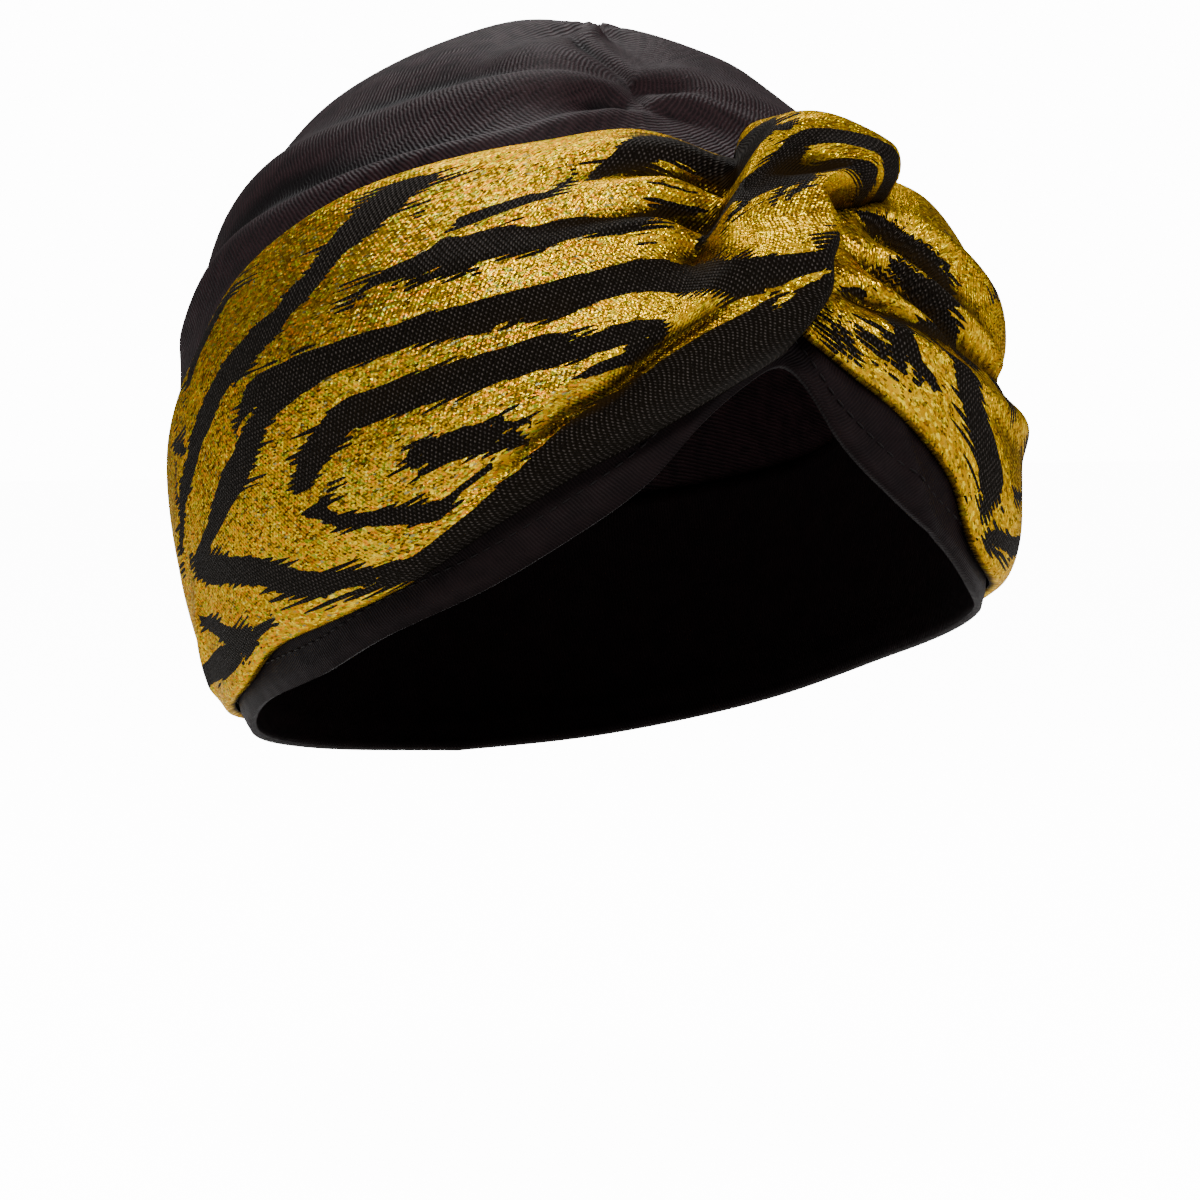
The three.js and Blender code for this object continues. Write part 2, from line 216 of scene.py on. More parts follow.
def hollow_radius(way):
    """The hollow form's radius: a superellipse between its front or back and one of its sides."""
    elevation = np.degrees(np.arcsin(np.clip(way[..., 2], -1, 1)))
    turn = np.arctan2(way[..., 0], -way[..., 1])
    sides = list(HOLLOW_FORM)[1:]
    at = {name: through(HOLLOW_FORM["elevation"], HOLLOW_FORM[name], elevation) for name in sides}
    lengthwise = np.abs(np.cos(turn)) / np.where(np.cos(turn) >= 0, at["front"], at["back"])
    sideways = np.abs(np.sin(turn)) / np.where(np.sin(turn) >= 0, at["left"], at["right"])
    return (lengthwise**ROUNDNESS + sideways**ROUNDNESS) ** (-1 / ROUNDNESS)


def on_hollow(way, height):
    """Points along their directions, a height outside the hollow form."""
    return way * (hollow_radius(way) + height)[..., None]


def fold(points, sharp=2.0, lean=0.0):
    """A fold's line through (azimuth, elevation, height, width) points, as a fine row of directions."""
    values = np.array(points, float)
    ways = direction(values[:, 0], values[:, 1])
    run = np.concatenate([[0], np.cumsum(np.linalg.norm(np.diff(ways, axis=0), axis=1))])
    fine = np.linspace(0, run[-1], FOLD_SAMPLES * len(points) + 1)
    line = np.stack([through(run, ways[:, k], fine) for k in range(3)], -1)
    return {
        "line": line / np.linalg.norm(line, axis=1)[:, None],
        "height": through(run, values[:, 2], fine),
        "width": through(run, values[:, 3], fine),
        "sharp": sharp,
        "lean": lean,
    }


def nearest_on(line, ways):
    """For each direction: its distance in mm to a line of directions, the place along it, and its side."""
    start, step = line[:-1], np.diff(line, axis=0)
    offset = ways[:, None] - start
    share = np.clip((offset * step).sum(-1) / (step * step).sum(-1), 0, 1)
    gap = np.linalg.norm(offset - share[..., None] * step, axis=-1)
    near = gap.argmin(1)
    rows = np.arange(len(ways))
    side = np.sign((np.cross(step[near], offset[rows, near]) * ways).sum(-1))
    return gap[rows, near] * ARC_RADIUS, near + share[rows, near], side


def within(ways, points, reach):
    """Which of the directions lie within reach of any of the points."""
    close = np.zeros(len(ways), bool)
    for point in points:
        close |= np.linalg.norm(ways - point, axis=1) < reach
    return close


def fold_height(way, folds):
    """Adds every fold, height * exp(-(distance / width) ** sharp), wider on the side it leans to."""
    ways = way.reshape(-1, 3)
    total = np.zeros(len(ways))
    for one in folds:
        reach = FOLD_REACH * one["width"].max() * (1 + abs(one["lean"])) / ARC_RADIUS + FOLD_MARGIN
        close = within(ways, one["line"][::FOLD_STRIDE], reach)
        if not close.any():
            continue
        gap, place, side = nearest_on(one["line"], ways[close])
        counts = np.arange(len(one["line"]))
        height = np.interp(place, counts, one["height"])
        width = np.interp(place, counts, one["width"]) * (1 + side * one["lean"])
        total[close] += height * np.exp(-((gap / width) ** one["sharp"]))
    return total.reshape(way.shape[:-1])


# Folds of the crown: rolls and the creases between them fan out from the gather
CROWN_FOLDS = [
    fold([(-16, 76, 1.2, 7), (-50, 76, 2.4, 12), (-109, 77, 3.2, 14), (-139, 58, 3.6, 14),
          (-152, 45, 3.0, 13)]),
    fold([(-24, 73, -1.6, 3), (-57, 72, -1.8, 3.4), (-96, 71, -1.6, 4.5), (-116, 58, -0.8, 5),
          (-130, 40, 0, 5)], 1.5),
    fold([(-24, 71, 1.8, 4), (-43, 69, 2.6, 5.5), (-64, 66, 3.0, 6.5), (-87, 63, 3.2, 7),
          (-119, 50, 3.2, 8), (-134, 36, 2.6, 8)]),
    fold([(-28, 66, -1.8, 3), (-47, 60, -2.4, 4), (-78, 54, -2.4, 5), (-107, 48, -2.2, 5.5),
          (-117, 40, -1.6, 5), (-125, 29, -0.6, 5)], 1.5),
    fold([(-13, 66, 2.0, 3.4), (-31, 63, 2.6, 4.5), (-59, 55, 2.8, 5.5), (-90, 46, 2.6, 6),
          (-109, 38, 2.6, 6), (-122, 27, 2.2, 6)]),
    fold([(-150, 84, 0, 4), (-60, 84, -1.2, 4), (-42, 82, -2.2, 3.2), (-25, 79, -2.8, 2.6),
          (-16, 76, -2.6, 2.2), (-11, 70, -2.0, 2.2)], 1.3, -0.3),
    fold([(-9, 74, 1.4, 3), (10, 74, 2.2, 4.5), (18, 71, 1.8, 5), (38, 64, 0.4, 5)]),
    fold([(-8, 72, -1.2, 1.8), (8, 71, -1.2, 2), (20, 66, -0.5, 2.4)], 1.5),
    fold([(-7, 69, 1.6, 2.6), (6, 69, 2.0, 3.4), (15, 66, 1.6, 4), (24, 61, 0.4, 4)]),
    fold([(-12, 68, -1.6, 2), (2, 66, -1.2, 2.2), (14, 61, -0.6, 2.6)], 1.5),
    fold([(-30, 67, -1.0, 2.5), (-24, 68, -3.0, 2.6), (-18, 68, -2.4, 2.2)]),
    fold([(20, 80, 0.8, 13), (80, 79, 1.0, 13), (120, 58, 1.0, 13)]),
    fold([(120, 76, 1.8, 12), (142, 56, 1.6, 12), (152, 26, 0.6, 12)]),
    fold([(150, 78, -0.6, 5), (160, 56, -0.9, 5), (166, 30, -0.3, 5)], 1.6),
    fold([(-170, 78, 2.0, 12), (178, 56, 1.6, 12), (178, 26, 0.6, 12)]),
    fold([(70, 74, 1.6, 9), (84, 62, 1.4, 9), (96, 46, 0.4, 9)]),
    fold([(95, 76, -0.6, 4), (108, 62, -0.9, 4.5), (118, 44, -0.3, 5)], 1.6),
    fold([(-176, 66, -0.5, 4), (-164, 48, -0.9, 4.5), (-158, 28, -0.3, 5)], 1.6),
]

# Folds of the right wrap: pleats that tuck under the twist, and the rolled border with its crease
RIGHT_FOLDS = [
    fold([(3, 53, 3.0, 3.6), (-8, 54, 3.2, 4), (-20, 54, 2.4, 4.4), (-38, 50, 0.8, 5)]),
    fold([(-1, 50, -2.4, 1.8), (-9, 50.5, -2.4, 2), (-18, 50, -1.4, 2.4), (-30, 47, -0.3, 3)], 1.4),
    fold([(-5, 47, 3.0, 2.8), (-13, 48, 2.8, 3.2), (-24, 46.5, 1.8, 3.6), (-40, 42, 0.5, 4)]),
    fold([(-8, 44, -2.8, 1.6), (-13, 44.5, -2.6, 1.8), (-20, 43.5, -1.6, 2.2), (-34, 40, -0.3, 3)], 1.4),
    fold([(-9, 41, 2.6, 2.8), (-18, 42, 2.4, 3.2), (-30, 39, 1.4, 4), (-46, 34, 0.4, 5)]),
    fold([(11, 37, -1.4, 1.8), (2, 34, -3.4, 2.0), (-6, 31, -4.2, 2.2), (-18, 26, -4.0, 2.4),
          (-24, 21, -3.6, 2.6), (-30, 18, -2.8, 2.8), (-39, 10, -1.0, 3.2)], 1.4),
    fold([(-12, 31, 1.6, 3), (-22, 25, 1.8, 3.2), (-32, 19, 1.2, 3.4), (-42, 12, 0.4, 4)]),
    fold([(2, 29, 2.2, 3.5), (-18, 20, 2.8, 4), (-27, 14, 2.6, 4.2), (-37, 8, 1.8, 4.6),
          (-50, 0, 0.6, 5)]),
    fold([(-30, 30, -0.6, 6), (-50, 22, -0.9, 7), (-70, 10, -0.5, 7)]),
    fold([(-44, 36, 0.7, 7), (-62, 30, 0.9, 8), (-84, 14, 0.5, 8)]),
    fold([(-100, 16, 0.6, 5), (-112, 2, 0.8, 5), (-120, -12, 0.4, 5)]),
    fold([(-104, -4, 0.3, 3), (-112, -12, 1.2, 3.4), (-120, -20, 1.4, 3)]),
]

# Folds of the left wrap: pleats that fan out from under the twist, and the big lower fold
LEFT_FOLDS = [
    fold([(26, 47, 3.6, 3.4), (36, 39, 4.6, 4.0), (46, 34, 3.6, 4.6), (62, 28, 1.6, 6)]),
    fold([(23, 47, -2.8, 1.4), (28, 39, -4.4, 1.5), (37, 31, -4.0, 1.8), (52, 25, -2.4, 2.4),
          (66, 22, -0.6, 3)], 1.3),
    fold([(19, 44, 3.0, 2.4), (24, 36, 4.0, 2.6), (33, 29, 3.4, 2.8), (46, 24, 2.0, 3.4)]),
    fold([(17, 42, -2.6, 1.2), (22, 34.5, -4.0, 1.3), (30, 28, -3.6, 1.5), (41, 23.5, -2.0, 2.0)], 1.3),
    fold([(14, 38, 2.8, 2.4), (20, 32, 3.4, 2.6), (28, 27.5, 3.0, 2.6), (40, 22, 1.6, 3)]),
    fold([(11, 35, -3.0, 2.0), (18, 32, -3.6, 2.2), (26, 28, -3.6, 2.4), (38, 24, -3.4, 2.8),
          (50, 22, -3.6, 3.6), (68, 20, -4.2, 4.6), (86, 12, -1.0, 5)], 1.5),
    fold([(16, 29, 0.8, 2), (26, 23.5, 2.0, 2.6), (38, 19, 2.4, 3), (50, 16.5, 2.4, 3.6),
          (66, 13, 1.6, 4.6), (84, 4, 0.4, 5)]),
    fold([(12, 30, 1.8, 4), (20, 25, 2.6, 6), (30, 18, 2.4, 7), (40, 9, 1.6, 7), (54, 0, 0.5, 7)]),
    fold([(12, 27, -0.9, 1.1), (18, 24, -0.5, 1.3), (23, 21, 0, 1.4)], 1.5),
    fold([(14, 25.5, -0.9, 1.0), (19, 21.5, -0.5, 1.2), (23, 18.5, 0, 1.4)], 1.5),
    fold([(80, 14, 0.6, 6), (100, 4, 0.8, 7), (130, -6, 0.4, 7)]),
]

# Creases of the twist: between its two rolls, and beside the fold where the cloth turns under
TWIST_FOLDS = [
    fold([(-6, 45, 0, 1.6), (2, 47, -0.8, 1.8), (8, 48, -3.4, 2.0), (13, 48.5, -4.2, 2.4),
          (18, 48, -2.2, 2.0), (24, 46.5, -0.4, 2)], 1.4),
    fold([(-14, 34, 0.2, 3), (-4, 36, 0.8, 4), (4, 37, 0.8, 4)]),
    fold([(-10, 43, -0.6, 1.2), (-2, 45, -0.8, 1.4), (6, 46, -0.3, 1.4)], 1.5),
    fold([(-4, 50, -0.5, 1.4), (6, 53, -0.9, 1.6), (14, 54, -0.5, 1.6), (22, 52, 0, 1.6)], 1.5),
]


def crown_way(azimuth, share):
    """The direction a share of the way along the arc from the gather to the crown's edge."""
    start = direction(np.full_like(azimuth, GATHER[0]), GATHER[1])
    end = direction(azimuth, through(CROWN_EDGE["azimuth"], CROWN_EDGE["elevation"], azimuth))
    angle = np.arccos(np.clip((start * end).sum(-1), -1, 1))
    way = start * (np.sin((1 - share) * angle) / np.sin(angle))[..., None] + end * (
        np.sin(share * angle) / np.sin(angle)
    )[..., None]
    return way / np.linalg.norm(way, axis=-1)[..., None], angle


def crown_surface(azimuth, share):
    """The crown's outer sheet: its seat, plus its ease and folds where no wrap covers it."""
    way, angle = crown_way(azimuth, share)
    shown = smooth(*CROWN_TUCK, np.degrees(angle * (1 - share)))
    height = CROWN_HEIGHT + shown * (CROWN_EASE + fold_height(way, CROWN_FOLDS))
    return way, height, angle * share


def along_rows(wrap, name, place):
    """A wrap's value at a place, a cubic through its rows."""
    return through(np.arange(len(wrap[name]), dtype=float), wrap[name], place)


def wrap_way(wrap, place, across):
    """A straight line of azimuth and elevation from a row's low end to its high end, bowed by a parabola."""
    bow = 4 * across * (1 - across)
    at = {name: along_rows(wrap, name, place) for name in WRAP_COLUMNS.split()}
    azimuth = mix(at["low_azimuth"], at["high_azimuth"], across) + bow * at["bow_azimuth"]
    elevation = mix(at["low_elevation"], at["high_elevation"], across) + bow * at["bow_elevation"]
    return direction(azimuth, elevation), at["puff"]


def edge_rise(across):
    """0 at a wrap's two edges and 1 between them, rounded like a superellipse."""
    return np.sqrt(np.maximum(0, 1 - np.abs(2 * across - 1) ** EDGE_SQUARENESS))


def wrap_height(way, puff, across, folds, shown=1.0):
    """A wrap's stand-off: its seat, and between its edges its puff and its folds."""
    seat = mix(LOW_SEAT, HIGH_SEAT, across**SEAT_CURVE)
    return seat + edge_rise(across) * (puff + shown * fold_height(way, folds))


def right_height(place, across):
    """The right wrap's stand-off, with its upper half sinking where it tucks under the twist."""
    way, puff = wrap_way(RIGHT_WRAP, place, across)
    tuck = smooth(CREVICE["from"], CREVICE["to"], across) * smooth(
        RIGHT_ROWS - 1 - CREVICE["rows"], RIGHT_ROWS - 1, place
    )
    return wrap_height(way, puff, across, RIGHT_FOLDS) - CREVICE["depth"] * tuck * edge_rise(across)


def bent(start, middle, end, share):
    """A parabola through a start, a middle and an end."""
    before = start * (1 - share) * (1 - 2 * share)
    return before + middle * 4 * share * (1 - share) + end * share * (2 * share - 1)


def guide(name, across):
    """A value of the twist's guide rows, a cubic across them."""
    return through(TWIST_GUIDES["across"], TWIST_GUIDES[name], across)


def twist_way(along, across):
    """From the right wrap's last row, through the guide rows' middles, to their ends."""
    last = RIGHT_ROWS - 1
    bow = 4 * across * (1 - across)
    start_azimuth = (
        mix(RIGHT_WRAP["low_azimuth"][last], RIGHT_WRAP["high_azimuth"][last], across)
        + bow * RIGHT_WRAP["bow_azimuth"][last]
    )
    start_elevation = mix(RIGHT_WRAP["low_elevation"][last], RIGHT_WRAP["high_elevation"][last], across)
    return direction(
        bent(start_azimuth, guide("mid_azimuth", across), guide("end_azimuth", across), along),
        bent(start_elevation, guide("mid_elevation", across), guide("end_elevation", across), along),
    )


def twist_height(along, across):
    """The twist rises from the right wrap, arches over, and rolls under at its end and its top edge."""
    start = right_height(np.full_like(across, RIGHT_ROWS - 1.0), across)
    upper = smooth(CREVICE["from"], CREVICE["to"], across)
    rise = smooth(0, mix(TWIST_RISE[0], TWIST_RISE[1], upper), along)
    middle = guide("mid_height", across)
    arch = bent(middle, middle, guide("end_height", across), along)
    way = twist_way(along, across)
    back_seat = mix(HIGH_SEAT, TWIST_BACK_SEAT, smooth(*TWIST_BACK, along))
    seat = mix(LOW_SEAT, back_seat, across)
    full = seat + (arch - seat + fold_height(way, TWIST_FOLDS)) * edge_rise(across)
    top = mix(start, full, rise)
    turned = np.maximum(0, (along - TWIST_ROLL[0]) / (1 - TWIST_ROLL[0]))
    foot = np.minimum(top, TWIST_ROLL[1])
    return foot + (top - foot) * np.sqrt(np.maximum(0, 1 - turned**2))


def right_surface(place, across):
    """The right wrap, and past its last row the twist that it turns into, as one sheet."""
    wrapped = np.minimum(place, RIGHT_ROWS - 1.0)
    along = np.clip(place - (RIGHT_ROWS - 1), 0, 1)
    twisting = place > RIGHT_ROWS - 1
    wrap_part, _ = wrap_way(RIGHT_WRAP, wrapped, across)
    way = np.where(twisting[..., None], twist_way(along, across), wrap_part)
    height = np.where(twisting, twist_height(along, across), right_height(wrapped, across))
    return way, height


def left_surface(place, across):
    """The left wrap, flat under the twist and pleated from there on."""
    way, puff = wrap_way(LEFT_WRAP, place, across)
    return way, wrap_height(way, puff, across, LEFT_FOLDS, smooth(*PLEAT_START, place))


# Folds of the inner band, below the twist
LINING_FOLDS = [
    fold([(14, 26, 0.2, 1.6), (18, 19, 1.0, 2.0), (21, 12, 1.8, 2.4), (25, 5, 0.8, 2.6)]),
    fold([(17, 24, 0.2, 1.4), (23, 17, 0.8, 2.0), (30, 8, 0.7, 2.4), (34, 3, 0.2, 2.4)]),
    fold([(18, 24, -0.2, 1.2), (24, 16, -0.6, 1.4), (30, 7, -0.3, 1.6)], 1.5),
]
LINING_FOLD_TOP = (26, 34)
HEM = {"rise": 5.2, "width": 1.1, "depth": 0.5}
HEM_STITCH = {"pitch": 3.3, "length": 2.1, "radius": 0.26, "sink": 0.05, "blunt": 0.1}
HEM_GRID = {"sides": 6, "rings": 5, "samples": 4}

# Grid steps of each sheet
CROWN_STEPS = (400, 110)
LINING_STEPS = (420, 26)
RIGHT_SPREAD = ((0, 3, 7, 9, 10), (90, 180, 82, 88))
LEFT_SPREAD = ((0, 4, 7, 10), (200, 100, 72))
RIGHT_ACROSS = 98
LEFT_ACROSS = 108
EDGE_EASE = 0.55
# The mask of painted shade in the creases: how far it looks around, the depths where it starts and is full,
# and its fade at a wrap's edges
SHADE_MASK_SIZES = {"reach": 7, "from": 0.1, "to": 1.3, "edge": 0.06}

# The unseen backs repeat the print, mirrored
RIGHT_TURN = 2.2
LEFT_TURN = (3.5, 4.4)
FAR_FROM_PRINT = 12.0
THINNEST_STROKE = 0.32
STROKE_SAMPLES = 4
# Where the flecks of painted hologram reflection thin out, and how few are left past there
PAINTED_FLECKS_END = (7.4, 9.0)
FEW_PAINTED_FLECKS = 0.2
INK_SPREAD = 0.42

# The print, charted as black strokes through (place, across, half width in mm) points
RIGHT_BLACK = [
    [(4.0, .932, 1), (3.62, .935, 1.8), (3.29, .95, 2), (3.1, .942, 1.8)],
    [(6.2, .915, .8), (6.03, .909, 2.4), (5.89, .895, 4), (5.71, .863, 4.2), (5.57, .836, 3.8),
     (5.44, .814, 3.4), (5.26, .757, 2.9), (5.07, .739, 3), (4.92, .712, 2.9), (4.7, .707, 3.2),
     (4.49, .694, 3.5), (4.25, .692, 3.4), (4.03, .685, 3.3), (3.79, .691, 3), (3.46, .708, 2.6),
     (3.27, .71, 2.4), (3.12, .7, 2.1), (2.92, .681, 2), (2.78, .655, 1.5), (2.66, .6, 1.3),
     (2.5, .55, .6)],
    [(2.63, .859, 1), (2.98, .772, 1.2)],
    [(2.61, .823, .4), (2.7, .68, .4)],
    [(9.98, .425, 2), (9.89, .314, 2), (9.78, .295, 2.5), (9.64, .295, 2.8), (9.45, .325, 3.2),
     (9.21, .417, 3.6), (8.99, .47, 3.9), (8.61, .475, 3.7), (8.23, .461, 3.2), (7.9, .449, 2.9),
     (7.56, .455, 3.4), (7.16, .474, 3.4), (6.81, .49, 3), (6.35, .521, 2.3), (6.14, .53, 2.1),
     (5.96, .538, 2.5), (5.6, .548, 2.6), (5.42, .552, 2.9), (5.23, .555, 3.5), (5.04, .555, 3.9),
     (4.88, .558, 4.5), (4.69, .554, 5.4), (4.6, .531, 5.4), (4.49, .499, 4.4), (4.35, .462, 3.8),
     (4.07, .449, 3.9), (3.8, .439, 3.4), (3.49, .437, 2.2), (3.15, .445, 1.9), (2.85, .439, 2)],
    [(2.87, .43, 2.4), (3.22, .363, 3.8), (3.92, .245, 3.3), (4.36, .19, 3.4), (4.64, .147, 3.4),
     (4.93, .112, 3), (5.23, .079, 2.9), (5.52, .059, 2.5), (5.79, .043, 2.1), (6.04, .028, 2.2),
     (6.24, .012, 2.4)],
    [(8.91, .306, 1.5), (8.65, .309, 1.7), (8.28, .301, 2), (7.91, .304, 2.4), (7.57, .326, 3.2),
     (7.22, .345, 3), (6.85, .363, 3), (6.5, .383, 3.1), (6.19, .402, 3), (5.84, .418, 2.8),
     (5.69, .42, 2.9), (5.57, .41, 3.3), (5.44, .394, 3.3), (5.32, .378, 3.4), (5.21, .362, 3.4),
     (5.12, .342, 2.6), (5.03, .329, 1)],
    [(8.92, .301, 1.1), (8.79, .267, .7), (8.5, .263, .3)],
    [(7.95, .22, .2), (8.23, .223, .6), (8.66, .241, .7), (8.88, .267, .9)],
    [(5.13, .259, .7), (5.33, .243, 1.9), (5.48, .209, 1.5), (5.67, .191, 1.3), (5.86, .172, 1.5),
     (6.05, .154, 1.8), (6.34, .12, 1.9), (6.47, .112, 1.7), (6.56, .112, 1), (6.68, .123, .4),
     (6.99, .135, .2)],
    [(5.41, .265, .9), (5.36, .255, 1.5)],
    [(6.42, .238, 1.8), (6.56, .231, 2.6), (6.71, .222, 2.8), (6.85, .212, 2.6), (6.92, .204, 1.9)],
    [(6.25, .278, .2), (6.44, .266, .6)],
    [(6.2, .26, .2), (6.42, .253, .6)],
    [(6.24, .24, .2), (6.45, .238, .6)],
    [(6.3, .215, .2), (6.51, .215, .8)],
    [(6.91, .233, .4), (7.1, .229, .2)],
    [(6.91, .222, .7), (7.12, .204, .5), (7.38, .183, .2)],
    [(6.99, .192, .4), (7.25, .174, .2)],
    [(6.92, .182, .8), (7.07, .168, .6), (7.35, .144, .2)],
    [(7.6, .79, .6), (7.85, .82, 2), (8.04, .85, 3), (8.23, .88, 3.4), (8.42, .9, 3.8), (8.6, .915, 4.2),
     (8.8, .92, 4.2), (9.0, .93, 4), (9.12, .95, 3)],
    [(6.53, .752, 1.1), (6.84, .758, 1), (7.04, .761, .7), (7.24, .763, .4), (7.43, .797, .2)],
    [(6.13, .663, .5), (6.3, .668, 1.6), (6.47, .68, 3.2), (6.64, .665, 3.1), (6.82, .663, 3.2),
     (7.0, .657, 3.2), (7.23, .64, 2.8), (7.44, .64, 2.6), (7.7, .632, 2.5), (7.98, .615, 2.4),
     (8.19, .625, 2.2), (8.37, .67, 1.3), (8.56, .71, .7), (8.81, .734, .3)],
    [(5.78, .66, .2), (5.95, .674, .8), (6.12, .675, 1.1), (6.29, .674, 1.4)],
    [(6.29, .634, .2), (6.67, .619, .7)],
    [(9.98, .3, 4), (9.97, .24, 4.5), (9.94, .165, 5.5), (9.84, .117, 5.5), (9.69, .12, 4.6),
     (9.54, .113, 4.5), (9.37, .116, 4.5), (9.09, .106, 4.6), (8.81, .091, 4.7), (8.31, .076, 4.5),
     (7.97, .066, 4.2), (7.69, .056, 3.8), (7.41, .038, 3.3), (7.18, .031, 3.2), (6.82, .016, 2.8),
     (6.48, .016, 2.4), (6.05, .02, 1.8)],
    [(10, .03, 5), (9.5, .03, 4.4), (9, .02, 4.4), (8, .01, 3.6), (7, 0, 2.4), (6.2, 0, 1)],
    [(2.65, .284, 1.3), (2.96, .216, 2.4), (3.28, .142, 3.1), (3.54, .086, 3.4), (3.8, .069, 2.1)],
    [(3.9, .062, 1.1), (4.27, .063, .3)],
    [(3.29, .093, 2.9), (2.68, .12, 3), (2.18, .141, 1.8)],
    [(9.03, 1, 2), (9.06, .962, 2), (9.09, .901, 1.6), (9.2, .85, .8), (9.31, .829, .4)],
    [(9.14, .68, .4), (9.24, .698, .6), (9.33, .71, .8), (9.37, .734, 1), (9.43, .753, 1.2),
     (9.5, .768, 1.3), (9.62, .775, 1.3), (9.76, .785, 1.4), (9.9, .8, 1.5), (10, .82, 1.5)],
    [(9.26, .671, 1), (9.39, .673, 1.5), (9.45, .697, 1.7), (9.48, .713, 1.3), (9.51, .733, .9)],
    [(8.95, .6, .3), (9.05, .66, 1), (9.13, .665, 1.8), (9.27, .661, 1.6), (9.41, .665, 1.5),
     (9.53, .669, 1.8), (9.61, .68, 2), (9.67, .69, 1.4), (9.74, .7, 1.2), (9.83, .71, 1.2),
     (9.91, .72, .9), (9.98, .74, .6)],
    [(9.16, .593, .2), (9.24, .619, .4), (9.28, .644, .6)],
    [(9.51, .622, .2), (9.58, .64, .4), (9.61, .661, .7)],
    [(9.63, .616, .2), (9.72, .63, .4), (9.75, .655, .6)],
]
RIGHT_GOLD = [
    [(9.08, .375, .3), (9.23, .306, .7), (9.43, .244, .9), (9.57, .233, .6)],
    [(9.55, .224, .4), (9.35, .247, 1), (9.25, .269, .9), (9.16, .267, .7), (9.03, .28, .3)],
    [(9.9, .289, .2), (9.83, .266, .5), (9.76, .255, .6), (9.68, .241, .7), (9.59, .25, .3)],
    [(9.76, .24, .5), (9.69, .207, .4), (9.66, .183, .2)],
    [(9.57, .23, .3), (9.43, .219, .5), (9.28, .231, .7), (9.09, .24, .9), (8.77, .215, .9)],
    [(4.68, .549, .3), (4.54, .543, .7), (4.39, .53, .7), (4.26, .523, .3)],
    [(4.37, .657, .4), (4.28, .647, 1), (4.09, .643, 1), (3.91, .639, .5)],
    [(5.76, .037, .3), (5.56, .04, .4), (5.36, .05, .5), (5.16, .052, .5)],
    [(6.5, .723, .3), (6.7, .725, .6), (6.96, .725, .7), (7.22, .729, .6), (7.49, .739, .5)],
    [(7.78, .331, .2), (7.96, .328, .5), (8.12, .332, .4)],
    [(6.97, .452, .2), (7.08, .448, .4), (7.16, .442, .2)],
    [(9.01, .249, .7), (8.94, .221, .6), (8.87, .194, .4)],
]
LEFT_BLACK = [
    [(.66, .655, .7), (.92, .633, 1.2), (1.26, .596, 1), (1.53, .569, 1), (1.78, .546, 1.3),
     (2.0, .523, 1.6), (2.08, .49, 2.2), (2.03, .43, 2.8), (1.98, .373, 2.6), (1.92, .349, 1.7)],
    [(2.06, .54, .4), (2.2, .536, .2)],
    [(2.11, .511, .4), (2.27, .506, .2)],
    [(2.17, .489, .5), (2.36, .485, .2)],
    [(1.31, .415, .3), (1.51, .394, .6), (1.72, .372, 1), (1.89, .365, 2), (2.06, .375, 2.4),
     (2.22, .4, 2.2), (2.38, .43, 1.8), (2.56, .442, 1.1), (2.68, .438, .4)],
    [(1.87, .261, .3), (2.07, .268, 1.6), (2.25, .298, 2.1), (2.38, .301, 2.5), (2.49, .29, 2.6),
     (2.59, .283, 1.5), (2.71, .282, .7)],
    [(2.08, .334, .4), (2.28, .322, 1.3), (2.4, .314, 1.5)],
    [(1.41, .223, .2), (1.68, .234, .5), (1.91, .25, .5), (2.04, .251, .8), (2.13, .21, 1.1),
     (2.27, .194, 1.5), (2.41, .178, 2.6), (2.54, .158, 2.8), (2.82, .124, 2.9), (3.16, .104, 3.2),
     (3.35, .095, 3.5), (3.54, .09, 3.9), (3.62, .08, 3.6), (3.66, .062, 2.6)],
    [(1.5, .212, 1.8), (1.56, .19, 2.6), (1.6, .16, 2.6), (1.66, .132, 2.2)],
    [(1.56, .122, 1.5), (1.67, .101, 1.1), (1.82, .071, .2)],
    [(1.72, .141, 1.6), (1.91, .112, 1), (2.06, .075, .2)],
    [(1.9, .116, .8), (2.04, .102, .6), (2.25, .092, .2)],
    [(1.12, .162, .2), (1.36, .137, .5), (1.47, .129, .4)],
    [(1.3, .211, .3), (1.42, .183, .7)],
    [(1.69, .211, .9), (1.96, .184, .3)],
    [(1.04, .109, .2), (1.32, .099, .3), (1.47, .085, .2)],
    [(.59, .088, .3), (.67, .059, .4), (.75, .028, .3)],
    [(.71, .096, .3), (.84, .068, .5), (.99, .042, .2)],
    [(.77, .266, .4), (.91, .277, .4), (1.08, .277, .2)],
    [(2.29, .74, .2), (2.5, .72, .5), (2.8, .66, .6), (3.05, .6, .3)],
    [(3.01, .315, 1), (3.16, .312, 1.5), (3.25, .298, 1.9)],
    [(4.2, .03, 2), (4.22, .06, 2.6), (4.26, .1, 2.6), (4.3, .14, 1.6)],
    [(3.95, .092, .4), (4.04, .088, .7), (4.16, .09, .9)],
    [(3.3, .5, .4), (3.6, .46, 1.6), (3.9, .43, 2.6), (4.2, .42, 3), (4.4, .42, 3)],
    [(3.1, .78, .4), (3.4, .74, 1.2), (3.8, .72, 2.2), (4.3, .72, 2.6)],
]
LEFT_GOLD = [
    [(1.67, .517, .7), (1.92, .497, .5), (2.07, .482, .2)],
    [(2.57, .297, .2), (2.49, .297, .3), (2.42, .297, .2)],
]


